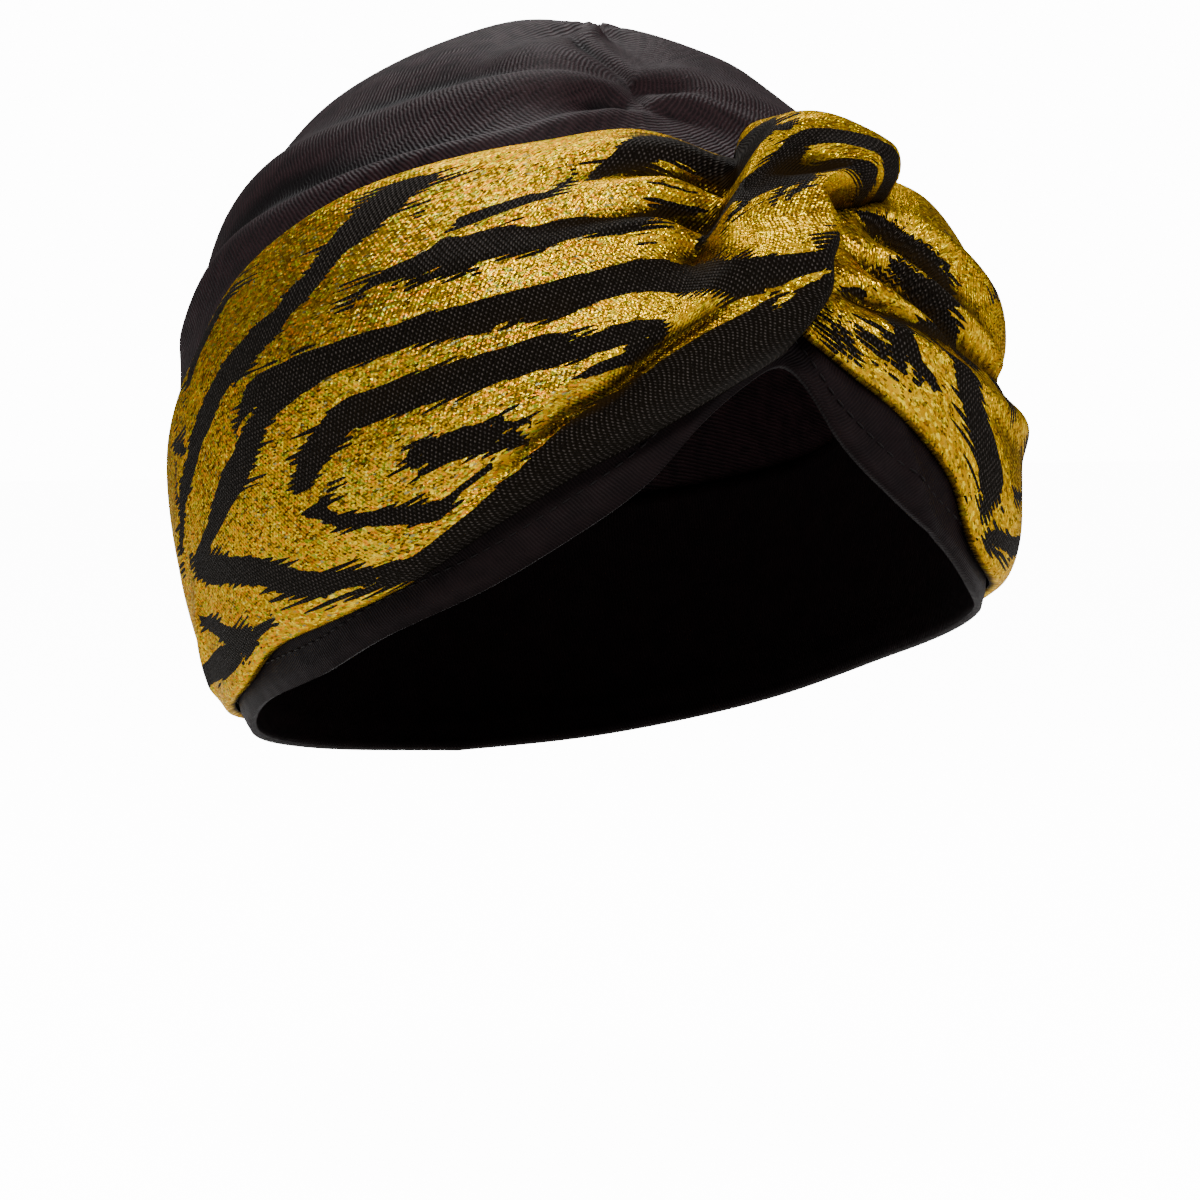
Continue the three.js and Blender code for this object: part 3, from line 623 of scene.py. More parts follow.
def lining_surface(azimuth, share):
    """The inner band's outer sheet, from the rim to above the crown's edge.

    Its height is its seat and folds, less a pressed hem line, depth * exp(-(distance / width) ** 2).
    """
    low = through(RIM["azimuth"], RIM["elevation"], azimuth)
    high = through(CROWN_EDGE["azimuth"], CROWN_EDGE["elevation"], azimuth) + LINING_OVERLAP
    elevation = mix(low, high, share)
    way = direction(azimuth, elevation)
    from_hem = (elevation - low) - HEM["rise"]
    groove = HEM["depth"] * np.exp(-((from_hem / HEM["width"]) ** 2))
    shown = 1 - smooth(*LINING_FOLD_TOP, elevation - low)
    return way, LINING_HEIGHT - groove + shown * fold_height(way, LINING_FOLDS)


def spread(stops, steps):
    """Values from the first stop to the last, with a number of even steps between each pair of stops."""
    parts = [np.linspace(*pair, n, endpoint=False) for *pair, n in zip(stops[:-1], stops[1:], steps)]
    return np.concatenate([*parts, [stops[-1]]])


def eased(count):
    """Values from 0 to 1 that lie closer together at both ends, where an edge is rounded."""
    even = np.linspace(0, 1, count)
    return mix(even, (1 - np.cos(np.pi * even)) / 2, EDGE_EASE)


def run_along(points, axis):
    """The arc length along one axis of a grid, in millimetres."""
    step = np.linalg.norm(np.diff(points, axis=axis), axis=-1)
    start = np.zeros_like(np.take(step, [0], axis=axis))
    return np.concatenate([start, np.cumsum(step, axis=axis)], axis=axis)


def stroke_distance(ways, surface, strokes):
    """The distance in mm from each direction to the nearest stroke's edge, negative inside it.

    A stroke is a chain of tapering capsules through its points on the surface.
    """
    nearest = np.full(len(ways), FAR_FROM_PRINT)
    for points in strokes:
        values = np.array(points, float)
        counts = np.arange(len(values), dtype=float)
        fine = np.linspace(0, counts[-1], STROKE_SAMPLES * (len(values) - 1) + 1)
        place, across, half = (through(counts, values[:, k], fine) for k in range(3))
        line = surface(place, np.clip(across, 0, 1))[0]
        reach = (half.max() + FAR_FROM_PRINT) / ARC_RADIUS
        close = within(ways, line[::STROKE_SAMPLES], reach)
        gap, spot, _ = nearest_on(line, ways[close])
        edge = gap - np.interp(spot, np.arange(len(line)), np.maximum(half, THINNEST_STROKE))
        nearest[close] = np.minimum(nearest[close], edge)
    return nearest


def black_field(ways, surface, black, gold):
    """The distance to the print's black, with the gold strokes cut out of it."""
    inked = stroke_distance(ways, surface, black) - INK_SPREAD
    return np.maximum(inked, -stroke_distance(ways, surface, gold))


def mesh_object(name, points, faces):
    """An object of a points array in mm and rows of corners, smooth shaded, riding on the one body."""
    mesh = bpy.data.meshes.new(name)
    mesh.from_pydata((points * MM).tolist(), [], faces)
    mesh.polygons.foreach_set("use_smooth", np.ones(len(mesh.polygons), bool))
    mesh.update()
    piece = bpy.data.objects.new(name, mesh)
    bpy.context.scene.collection.objects.link(piece)
    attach(piece, "root")
    return piece


def cell_corners(grid):
    """The four corners of every cell of a grid of point numbers, in order round the cell."""
    return grid[:-1, :-1], grid[1:, :-1], grid[1:, 1:], grid[:-1, 1:]


def closed_sheet(name, outer, inner, fields, ring=False, pole=False):
    """A body between an outer and an inner grid of points in mm, closed along its open edges.

    With ring the grids are joined to themselves along the first axis, and with pole their first column
    is one point. Fields are values of the outer grid, kept as attributes; the inner sheet has no foil.
    """
    count, depth = outer.shape[:2]
    top = np.arange(count * depth).reshape(count, depth)
    if pole:
        top[:, 0] = 0
    if ring:
        top = np.concatenate([top, top[:1]])
    under = top + count * depth
    over, below = cell_corners(top), cell_corners(under)
    quads = [over, (below[0], below[3], below[2], below[1])]
    quads.append((over[3][:, -1], over[2][:, -1], below[2][:, -1], below[3][:, -1]))
    if not pole:
        quads.append((over[1][:, 0], over[0][:, 0], below[0][:, 0], below[1][:, 0]))
    if not ring:
        quads.append((over[0][0], over[3][0], below[3][0], below[0][0]))
        quads.append((over[2][-1], over[1][-1], below[1][-1], below[2][-1]))
    faces = np.concatenate([np.stack([corner.ravel() for corner in quad], 1) for quad in quads])
    points = np.concatenate([outer.reshape(-1, 3), inner.reshape(-1, 3)])
    halves = points[np.concatenate([faces[:, [0, 1, 2]], faces[:, [0, 2, 3]]])]
    if (halves[:, 0] * np.cross(halves[:, 1], halves[:, 2])).sum() < 0:
        faces = faces[:, ::-1]
    used, packed = np.unique(faces, return_inverse=True)
    rows = [list(dict.fromkeys(row)) for row in packed.reshape(-1, 4).tolist()]
    piece = mesh_object(name, points[used], rows)
    for key, values in fields.items():
        both = np.concatenate([values.reshape(-1, 3), values.reshape(-1, 3) * (1, 1, 0)])[used]
        piece.data.attributes.new(key, "FLOAT_VECTOR", "POINT").data.foreach_set("vector", both.ravel())
    return piece


def field(x, y=0.0, z=0.0):
    """Three grids of numbers, or single numbers, as one grid of vectors."""
    return np.stack(np.broadcast_arrays(x, y, z), -1)


def right_print(place, across):
    """The distance to the right chart's black, mirrored back past its turn."""
    turned = np.where(place < RIGHT_TURN, 2 * RIGHT_TURN - place, place)
    ways = right_surface(turned, across)[0].reshape(-1, 3)
    return black_field(ways, right_surface, RIGHT_BLACK, RIGHT_GOLD).reshape(place.shape)


def left_print(place, across):
    """The left chart's distance in front, and from there to the back the right chart's, mirrored."""
    ways = left_surface(place, across)[0].reshape(-1, 3)
    front = black_field(ways, left_surface, LEFT_BLACK, LEFT_GOLD).reshape(place.shape)
    return mix(front, right_print(RIGHT_ROWS - place, across), smooth(*LEFT_TURN, place))


def moving_mean(values, axis, reach):
    """The mean of each value and its neighbours within reach steps along one axis."""
    window = 2 * reach + 1
    count = values.shape[axis]
    margins = [(reach + 1, reach) if k == axis else (0, 0) for k in range(2)]
    total = np.cumsum(np.pad(values, margins, mode="edge"), axis)
    above = np.take(total, range(window, window + count), axis)
    return (above - np.take(total, range(count), axis)) / window


def painted_shade_cavity(height):
    """How far each point lies under the mean of the points around it, 1 from the depth of full painted shade
    on: the mask of painted shade in the creases.
    """
    mean = height
    for axis in (0, 1, 0, 1):
        mean = moving_mean(mean, axis, SHADE_MASK_SIZES["reach"])
    return smooth(SHADE_MASK_SIZES["from"], SHADE_MASK_SIZES["to"], mean - height)


def crown_piece():
    """The gathered crown, a sheet round its gather, with ribs that run round it."""
    turn = np.linspace(-180, 180, CROWN_STEPS[0], endpoint=False)
    azimuth, share = np.meshgrid(turn, np.linspace(0, 1, CROWN_STEPS[1]), indexing="ij")
    way, height, angle = crown_surface(azimuth, share)
    fields = {
        "cloth": field(angle * RIB_RADIUS, np.radians(np.abs(azimuth)) * RIB_RADIUS),
        # Painted shade in the creases, kept as a mask
        "painted_shade_mask": field(painted_shade_cavity(height)),
    }
    inner = on_hollow(way, height - CROWN_WALL)
    return closed_sheet("crown_cloth", on_hollow(way, height), inner, fields, ring=True, pole=True)


def lining_piece():
    """The inner band, with its ribs counted both ways from the back, so that they meet there."""
    turn = np.linspace(-180, 180, LINING_STEPS[0], endpoint=False)
    azimuth, share = np.meshgrid(turn, np.linspace(0, 1, LINING_STEPS[1]), indexing="ij")
    way, height = lining_surface(azimuth, share)
    outer = on_hollow(way, height)
    run = run_along(outer, 0)
    run = np.minimum(run, run[-1:] + run[1:2] - run)
    # The cloth coordinates, and the mask of painted shade in the creases
    fields = {"cloth": field(run, run_along(outer, 1)), "painted_shade_mask": field(painted_shade_cavity(height))}
    return closed_sheet("lining_cloth", outer, on_hollow(way, height - LINING_WALL), fields, ring=True)


def wrap_piece(name, surface, inside, places, columns, printed, flecks):
    """A printed wrap, with the run of its yarns in mm, the print's distance and slope, its flecks of painted
    hologram reflection, and a mask of painted shade in its creases.
    """
    place, across = np.meshgrid(places, eased(columns), indexing="ij")
    way, height = surface(place, across)
    outer = on_hollow(way, height)
    along_run = run_along(outer, 0)
    edge = printed(place, across)
    slope = np.gradient(edge, axis=0) / np.maximum(np.gradient(along_run, axis=0), MM)
    fields = {
        "cloth": field(along_run, run_along(outer, 1)),
        "print": field(edge, np.clip(slope, -1, 1), 1 + flecks(place)),
        # The mask of painted shade in the creases, faded out at the wrap's edges
        "painted_shade_mask": field(painted_shade_cavity(height) * smooth(0, SHADE_MASK_SIZES["edge"], across * (1 - across))),
    }
    return closed_sheet(name, outer, on_hollow(way, inside(place, height)), fields)


def right_inside(place, height):
    """Under the right wrap by its wall, and under the twist's end down to what it lies on."""
    along = np.clip(place - (RIGHT_ROWS - 1), 0, 1)
    under = height - mix(BAND_WALL, TWIST_WALL, smooth(*TWIST_THICKENS, along))
    return np.minimum(under, mix(under, TWIST_FILL[2], smooth(TWIST_FILL[0], TWIST_FILL[1], along)))


def left_inside(place, height):
    """Under the left wrap by its wall."""
    return height - BAND_WALL


def right_painted_flecks(place):
    """Many flecks of painted hologram reflection on the right wrap, and few past the place where it turns
    into the twist.
    """
    return mix(FEW_PAINTED_FLECKS, 1, 1 - smooth(*PAINTED_FLECKS_END, place))


def left_painted_flecks(place):
    """Few flecks of painted hologram reflection, the same along the left wrap."""
    return np.full_like(place, FEW_PAINTED_FLECKS)


def hem_stitches():
    """A row of thread dashes that lie on the inner band's hem.

    Each is a ring carried along the hem line, its radius the square root of a sine that is cut short at
    both ends, so that it rounds off.
    """
    azimuth = np.linspace(-180, 180, LINING_STEPS[0] * HEM_GRID["samples"])
    low = through(RIM["azimuth"], RIM["elevation"], azimuth)
    high = through(CROWN_EDGE["azimuth"], CROWN_EDGE["elevation"], azimuth) + LINING_OVERLAP
    line = on_hollow(*lining_surface(azimuth, HEM["rise"] / (high - low)))
    run = run_along(line, 0)
    count = int(run[-1] / HEM_STITCH["pitch"])
    rings, sides = HEM_GRID["rings"], HEM_GRID["sides"]
    along = np.linspace(0, 1, rings)
    spots = (np.arange(count) * run[-1] / count)[:, None] + HEM_STITCH["length"] * along
    centre = np.stack([np.interp(spots, run, line[:, k], period=run[-1]) for k in range(3)], -1)
    out = centre / np.linalg.norm(centre, axis=-1)[..., None]
    ahead = np.gradient(centre, axis=1)
    ahead /= np.linalg.norm(ahead, axis=-1)[..., None]
    aside = np.cross(ahead, out)
    inset = HEM_STITCH["blunt"] / 2
    radius = HEM_STITCH["radius"] * np.sqrt(np.sin(np.pi * mix(inset, 1 - inset, along)))
    turn = np.arange(sides) * 2 * np.pi / sides
    lift = radius[:, None] * np.cos(turn) + HEM_STITCH["sink"] + HEM_STITCH["radius"]
    reach = radius[:, None] * np.sin(turn)
    points = centre[:, :, None] + out[:, :, None] * lift[..., None] + aside[:, :, None] * reach[..., None]
    near = np.arange(count * rings * sides).reshape(count, rings, sides)
    beside = np.roll(near, -1, axis=2)
    walls = np.stack([near[:, :-1], beside[:, :-1], beside[:, 1:], near[:, 1:]], -1).reshape(-1, 4)
    ends = np.concatenate([near[:, 0, ::-1], near[:, -1]])
    return mesh_object("hem_stitches", points.reshape(-1, 3), walls.tolist() + ends.tolist())


# Material helpers: each value is a number, a colour or another node's socket
def feed(tree, socket, value):
    if isinstance(value, bpy.types.NodeSocket):
        tree.links.new(value, socket)
    else:
        socket.default_value = value


def maths(tree, operation, *values, clamp=False):
    node = tree.nodes.new("ShaderNodeMath")
    node.operation = operation
    node.use_clamp = clamp
    for socket, value in zip(node.inputs, values):
        feed(tree, socket, value)
    return node.outputs[0]


def times(tree, first, second):
    return maths(tree, "MULTIPLY", first, second)


def plus(tree, first, second):
    return maths(tree, "ADD", first, second)


def minus(tree, first, second, clamp=False):
    return maths(tree, "SUBTRACT", first, second, clamp=clamp)


def vectors(tree, operation, *values):
    node = tree.nodes.new("ShaderNodeVectorMath")
    node.operation = operation
    for socket, value in zip(node.inputs, values):
        feed(tree, socket, value)
    return node.outputs["Vector"]


def blended(tree, share, low, high):
    """The colour a share of the way from low to high."""
    node = tree.nodes.new("ShaderNodeMix")
    node.data_type = "RGBA"
    feed(tree, node.inputs["Factor"], share)
    feed(tree, node.inputs[MIX_COLOURS[0]], low)
    feed(tree, node.inputs[MIX_COLOURS[1]], high)
    return node.outputs[MIX_RESULT]


def between(tree, value, low, high, start=0.0, end=1.0):
    """The value's smooth rise from start at low to end at high."""
    node = tree.nodes.new("ShaderNodeMapRange")
    node.interpolation_type = "SMOOTHSTEP"
    keys = ("Value", "From Min", "From Max", "To Min", "To Max")
    for key, part in zip(keys, (value, low, high, start, end)):
        feed(tree, node.inputs[key], part)
    return node.outputs["Result"]


def parts_of(tree, value):
    node = tree.nodes.new("ShaderNodeSeparateXYZ")
    feed(tree, node.inputs[0], value)
    return node.outputs


def joined(tree, x, y, z=0.0):
    node = tree.nodes.new("ShaderNodeCombineXYZ")
    for socket, value in zip(node.inputs, (x, y, z)):
        feed(tree, socket, value)
    return node.outputs[0]


def noise(tree, vector, scale, detail=2.0):
    node = tree.nodes.new("ShaderNodeTexNoise")
    feed(tree, node.inputs["Vector"], vector)
    node.inputs["Scale"].default_value = scale
    node.inputs["Detail"].default_value = detail
    return node.outputs["Fac"]


def attribute(tree, name):
    node = tree.nodes.new("ShaderNodeAttribute")
    node.attribute_name = name
    return node.outputs["Vector"]


def bump(tree, height, distance):
    node = tree.nodes.new("ShaderNodeBump")
    node.inputs["Distance"].default_value = distance
    feed(tree, node.inputs["Height"], height)
    return node.outputs["Normal"]


def new_group(name, inputs, outputs):
    """An empty node group with its named sockets, and the sockets inside it."""
    tree = bpy.data.node_groups.new(name, "ShaderNodeTree")
    for side, sockets in (("INPUT", inputs), ("OUTPUT", outputs)):
        for key, kind in sockets.items():
            tree.interface.new_socket(key, in_out=side, socket_type="NodeSocket" + kind)
    entry = tree.nodes.new("NodeGroupInput")
    leave = tree.nodes.new("NodeGroupOutput")
    return tree, entry.outputs, leave.inputs


def use_group(tree, group, **values):
    node = tree.nodes.new("ShaderNodeGroup")
    node.node_tree = group
    for key, value in values.items():
        feed(tree, node.inputs[key], value)
    return node.outputs


def linear_part(part):
    """One part of a colour, 0 to 255 on a screen, as the linear value that a shader takes."""
    share = part / 255
    return share / 12.92 if share <= 0.04045 else ((share + 0.055) / 1.055) ** 2.4


def linear(red, green, blue):
    return (linear_part(red), linear_part(green), linear_part(blue), 1.0)


def new_material(name, settings):
    """A material's node tree and its Principled shader with the values that are the same everywhere."""
    material = bpy.data.materials.new(name)
    material.use_nodes = True
    shader = material.node_tree.nodes["Principled BSDF"]
    for key, value in settings.items():
        shader.inputs[key].default_value = value
    return material, material.node_tree, shader


# Sockets of the mix node that carry colours
MIX_COLOURS = (6, 7)
MIX_RESULT = 2

# Knits: sizes in mm of cloth, noise scales per mm, and reliefs in metres
CELL = {"along": 1.15, "across": 1.7, "sway": 0.8, "sway_scale": 0.35, "patch_scale": 1.3}
# Painted sheen: short light dashes on the tops of the knit's cells, in random patches
SHEEN_DASH = {"height": (0.6, 0.97), "patch": (0.32, 0.62), "share": 0.85}
RIB = {"pitch": 1.0, "sway": 1.1, "sway_scale": 0.18}
RIB_GRAIN = {"stretch": (0.7, 2.2), "scale": 1.6, "share": 0.35}
# Painted highlight on the rib crests, and lighter random patches
RIB_HIGHLIGHT_AND_PATCHES = {"painted_crest_highlight": (-0.1, 0.7), "crest_share": 0.55, "patch": (0.3, 0.7), "patch_share": 0.45}
LINING_PITCH = 0.75
JERSEY_ROUGHNESS = (0.62, 0.5)
KNIT_ROUGHNESS = 0.75
THREAD_PLY = 2200.0
FOIL_SHINE = 0.08
CROWN_SHINE = 0.07
LINING_SHINE = 0.04
THREAD_ROUGHNESS = (0.5, 0.7)
KNIT_RELIEF = 0.00032
RIB_RELIEF = 0.00013
LINING_RELIEF = 0.00008
THREAD_RELIEF = 0.00008

# The print's comb teeth, its frayed edge, its worn spots and its grain
TOOTH = {"pitch": 1.25, "short": 3.0, "long": 16.0, "bias": 1.1, "point": 1.6, "rare": 1.5}
TOOTH_SIDES = ((3.0, 1.0), (11.0, -1.0))
TOOTH_REGION = {"along": 0.05, "across": 0.06, "range": (0.36, 0.66)}
FRAY = {"width": 0.5, "scale": 1.7, "soft": 0.09}
WORN = {"scale": 1.1, "range": (0.74, 0.8)}
GRAIN = {"along": 0.95, "across": 0.42, "tilt": 0.55, "slow_scale": 0.06, "slow": (0.3, 0.7)}
# Grains painted with a glint, and grains painted with shade
PAINTED_GLINT_GRAINS = {"range": (0.55, 1.0), "share": 0.8}
PAINTED_SHADE_GRAINS = {"range": (0.6, 0.95), "share": 0.75}
# Grains that take a painted hologram reflection colour
PAINTED_HOLOGRAM_GRAINS = {"range": (0.62, 0.7), "share": 0.7, "shuffle": 7.3}
FOIL_LIFT = 0.35
FOIL_FILLS = 0.6
FOIL_METAL = 0.9

# Colours
# The foil's colours: its painted glint and painted facet shade are lit and shaded copies of its gold
FOIL = {
    "gold": linear(192, 146, 3),
    "deep": linear(152, 110, 3),
    "painted_glint": linear(252, 220, 14),
    "painted_facet_shade": linear(64, 42, 2),
    "grazing": linear(226, 200, 140),
    "smooth": 0.26,
    "rough": 0.46,
}
# Painted reflection: the hologram colours of the foil's flecks
PAINTED_HOLOGRAM_COLOURS = [
    (0.0, linear(222, 136, 22)),
    (0.28, linear(124, 150, 44)),
    (0.5, linear(220, 184, 40)),
    (0.7, linear(112, 128, 100)),
    (0.78, linear(196, 104, 22)),
    (0.9, linear(240, 220, 84)),
]
# Painted shade in the creases: its strength, and its colours on the foil and on the jerseys
PAINTED_SHADE_SHARE = 0.92
PAINTED_SHADE_BROWN = linear(22, 13, 3)
PAINTED_SHADE_BLACK = linear(3, 1, 2)
KNIT_BLACK = linear(5, 4, 5)
# Painted sheen on the black knit's cells
PAINTED_KNIT_SHEEN = linear(64, 59, 57)
# Jersey tones: each lighter one is painted highlight on the rib crests, and random tone in slow patches
CROWN_DEEP = linear(12, 6, 8)
CROWN_PATCH_AND_HIGHLIGHT = linear(38, 23, 26)
LINING_DEEP = linear(9, 5, 6)
LINING_PATCH_AND_HIGHLIGHT = linear(20, 12, 13)
THREAD = linear(15, 10, 11)
FLOOR_WHITE = linear(244, 244, 244)


def wave(tree, kind, value, pitch):
    """The sine or cosine of a value in mm that repeats at a pitch."""
    return maths(tree, kind, times(tree, value, 2 * math.pi / pitch))


def honeycomb_group():
    """Rows of staggered cells on cloth coordinates in mm: their height, and a short dash of painted sheen on
    the top of each, in random patches.
    """
    outputs = {"Height": "Float", "Sheen_Dash": "Float"}
    tree, entry, leave = new_group("honeycomb_knit", {"Cloth": "Vector"}, outputs)
    sway = noise(tree, entry["Cloth"], CELL["sway_scale"])
    x, y, _ = parts_of(tree, entry["Cloth"])
    y = plus(tree, y, times(tree, minus(tree, sway, 0.5), CELL["sway"]))
    cells = times(tree, wave(tree, "COSINE", x, CELL["along"]), wave(tree, "COSINE", y, CELL["across"]))
    height = maths(tree, "MULTIPLY_ADD", cells, 0.5, 0.5)
    feed(tree, leave["Height"], height)
    patch = between(tree, noise(tree, entry["Cloth"], CELL["patch_scale"], 1.0), *SHEEN_DASH["patch"])
    feed(tree, leave["Sheen_Dash"], times(tree, between(tree, height, *SHEEN_DASH["height"]), patch))
    return tree


def ribs_group():
    """Fine ribs along one coordinate in mm, with a slow sway and uneven weight."""
    inputs = {"Cloth": "Vector", "Pitch": "Float"}
    tree, entry, leave = new_group("fine_ribs", inputs, {"Height": "Float", "Uneven": "Float"})
    x, y, _ = parts_of(tree, entry["Cloth"])
    uneven = noise(tree, entry["Cloth"], RIB["sway_scale"])
    turn = maths(tree, "DIVIDE", maths(tree, "MULTIPLY_ADD", uneven, RIB["sway"], x), entry["Pitch"])
    stretched = joined(tree, *(times(tree, part, size) for part, size in zip((x, y), RIB_GRAIN["stretch"])))
    fine = noise(tree, stretched, RIB_GRAIN["scale"], 1.0)
    rib = times(tree, wave(tree, "SINE", turn, 1.0), 0.5)
    feed(tree, leave["Height"], maths(tree, "MULTIPLY_ADD", fine, RIB_GRAIN["share"], rib))
    feed(tree, leave["Uneven"], uneven)
    return tree


def teeth(tree, across, along, seed):
    """Comb teeth: for every yarn across, a pointed step of its own length, longer in some places."""
    count = plus(tree, maths(tree, "DIVIDE", across, TOOTH["pitch"]), seed)
    yarn = maths(tree, "FLOOR", count)
    chance = tree.nodes.new("ShaderNodeTexWhiteNoise")
    chance.noise_dimensions = "2D"
    feed(tree, chance.inputs["Vector"], joined(tree, yarn, seed))
    edge = maths(tree, "ABSOLUTE", maths(tree, "MULTIPLY_ADD", minus(tree, count, yarn), 2.0, -1.0))
    point = minus(tree, 1.0, maths(tree, "POWER", edge, TOOTH["point"]))
    slow_along = times(tree, along, TOOTH_REGION["along"])
    slow_across = times(tree, across, TOOTH_REGION["across"])
    region = noise(tree, joined(tree, slow_along, slow_across, seed), 1.0)
    length = between(tree, region, *TOOTH_REGION["range"], TOOTH["short"], TOOTH["long"])
    own = maths(tree, "POWER", chance.outputs["Value"], TOOTH["rare"])
    return times(tree, times(tree, own, length), point)


def print_group():
    """Where the foil lies: the charted distance, its edges pulled out along the yarns into teeth."""
    inputs = {"Cloth": "Vector", "Print": "Vector"}
    tree, entry, leave = new_group("foil_stripes", inputs, {"Foil": "Float", "Flecks": "Float"})
    along, across, _ = parts_of(tree, entry["Cloth"])
    distance, slope, shine = parts_of(tree, entry["Print"])
    sides = []
    for seed, sign in TOOTH_SIDES:
        facing = maths(tree, "MAXIMUM", times(tree, slope, sign), 0.0)
        pull = minus(tree, teeth(tree, across, along, seed), TOOTH["bias"])
        sides.append(times(tree, facing, pull))
    pulled = minus(tree, distance, plus(tree, *sides))
    fray = times(tree, minus(tree, noise(tree, entry["Cloth"], FRAY["scale"]), 0.5), FRAY["width"])
    edge = plus(tree, pulled, fray)
    worn = between(tree, noise(tree, entry["Cloth"], WORN["scale"], 3.0), *WORN["range"])
    foil = minus(tree, between(tree, edge, -FRAY["soft"], FRAY["soft"]), worn, clamp=True)
    feed(tree, leave["Foil"], times(tree, foil, maths(tree, "MINIMUM", shine, 1.0)))
    # How much painted hologram reflection
    feed(tree, leave["Flecks"], minus(tree, shine, 1.0, clamp=True))
    return tree


def painted_hologram_hue(tree, value):
    """One of the painted hologram reflection colours, each over its own stretch of values from 0 to 1."""
    hue = tree.nodes.new("ShaderNodeValToRGB")
    hue.color_ramp.interpolation = "CONSTANT"
    stops = hue.color_ramp.elements
    stops.remove(stops[1])
    stops[0].position, stops[0].color = PAINTED_HOLOGRAM_COLOURS[0]
    for place, colour in PAINTED_HOLOGRAM_COLOURS[1:]:
        stops.new(place).color = colour
    feed(tree, hue.inputs[0], value)
    return hue.outputs[0]


def grain_group():
    """The foil's cracked grain: small cells that each tilt their own way over a slow random tone; some cells
    take a painted glint, some painted shade, and some painted hologram reflection.
    """
    inputs = {"Cloth": "Vector", "Foil": "Float", "Flecks": "Float", "Normal": "Vector"}
    outputs = {"Color": "Color", "Normal": "Vector", "Roughness": "Float"}
    tree, entry, leave = new_group("foil_grain", inputs, outputs)
    x, y, _ = parts_of(tree, entry["Cloth"])
    cells = tree.nodes.new("ShaderNodeTexVoronoi")
    cells.voronoi_dimensions = "2D"
    cells.inputs["Scale"].default_value = 1.0
    along = maths(tree, "DIVIDE", x, GRAIN["along"])
    feed(tree, cells.inputs["Vector"], joined(tree, along, maths(tree, "DIVIDE", y, GRAIN["across"])))
    chance = cells.outputs["Color"]
    red, green, blue = parts_of(tree, chance)
    amount = times(tree, entry["Foil"], GRAIN["tilt"])
    lean = vectors(tree, "SUBTRACT", chance, (0.5, 0.5, 0.5))
    tilt = vectors(tree, "MULTIPLY", lean, joined(tree, amount, amount, amount))
    feed(tree, leave["Normal"], vectors(tree, "NORMALIZE", vectors(tree, "ADD", entry["Normal"], tilt)))
    slow = noise(tree, entry["Cloth"], GRAIN["slow_scale"])
    tone = blended(tree, between(tree, slow, *GRAIN["slow"]), FOIL["deep"], FOIL["gold"])
    # Painted glints on some grains
    painted_glint = times(tree, between(tree, green, *PAINTED_GLINT_GRAINS["range"]), PAINTED_GLINT_GRAINS["share"])
    tone = blended(tree, painted_glint, tone, FOIL["painted_glint"])
    # Painted shade on some grains
    painted_facet_shade = times(tree, between(tree, blue, *PAINTED_SHADE_GRAINS["range"]), PAINTED_SHADE_GRAINS["share"])
    tone = blended(tree, painted_facet_shade, tone, FOIL["painted_facet_shade"])
    # Painted hologram reflection on some grains
    shuffled = maths(tree, "FRACT", times(tree, plus(tree, red, green), PAINTED_HOLOGRAM_GRAINS["shuffle"]))
    flecks = times(tree, entry["Flecks"], PAINTED_HOLOGRAM_GRAINS["share"])
    chosen = times(tree, between(tree, red, *PAINTED_HOLOGRAM_GRAINS["range"]), flecks)
    feed(tree, leave["Color"], blended(tree, chosen, tone, painted_hologram_hue(tree, shuffled)))
    feed(tree, leave["Roughness"], between(tree, red, 0.0, 1.0, FOIL["smooth"], FOIL["rough"]))
    return tree


def shaded(tree, colour, dark):
    """A colour that sinks towards a dark one in the cloth's creases: painted shade, where shade falls in
    them.
    """
    painted_shade_mask = parts_of(tree, attribute(tree, "painted_shade_mask"))[0]
    return blended(tree, times(tree, painted_shade_mask, PAINTED_SHADE_SHARE), colour, dark)


def foil_print_material():
    settings = {"Specular IOR Level": FOIL_SHINE, "Specular Tint": FOIL["grazing"]}
    material, tree, shader = new_material("foil_print_knit", settings)
    cloth = attribute(tree, "cloth")
    knit = use_group(tree, honeycomb_group(), Cloth=cloth)
    stripes = use_group(tree, print_group(), Cloth=cloth, Print=attribute(tree, "print"))
    foil = stripes["Foil"]
    filled = times(tree, knit["Height"], maths(tree, "MULTIPLY_ADD", foil, -FOIL_FILLS, 1.0))
    relief = bump(tree, maths(tree, "MULTIPLY_ADD", foil, FOIL_LIFT, filled), KNIT_RELIEF)
    flecks = stripes["Flecks"]
    grain = use_group(tree, grain_group(), Cloth=cloth, Foil=foil, Flecks=flecks, Normal=relief)
    # The black knit, with its dashes of painted sheen
    dark = blended(tree, times(tree, knit["Sheen_Dash"], SHEEN_DASH["share"]), KNIT_BLACK, PAINTED_KNIT_SHEEN)
    colour = blended(tree, foil, dark, grain["Color"])
    # The base colour, with painted brown shade in the creases
    feed(tree, shader.inputs["Base Color"], shaded(tree, colour, PAINTED_SHADE_BROWN))
    rough = between(tree, foil, 0.0, 1.0, KNIT_ROUGHNESS, grain["Roughness"])
    feed(tree, shader.inputs["Roughness"], rough)
    feed(tree, shader.inputs["Metallic"], times(tree, foil, FOIL_METAL))
    feed(tree, shader.inputs["Normal"], grain["Normal"])
    return material


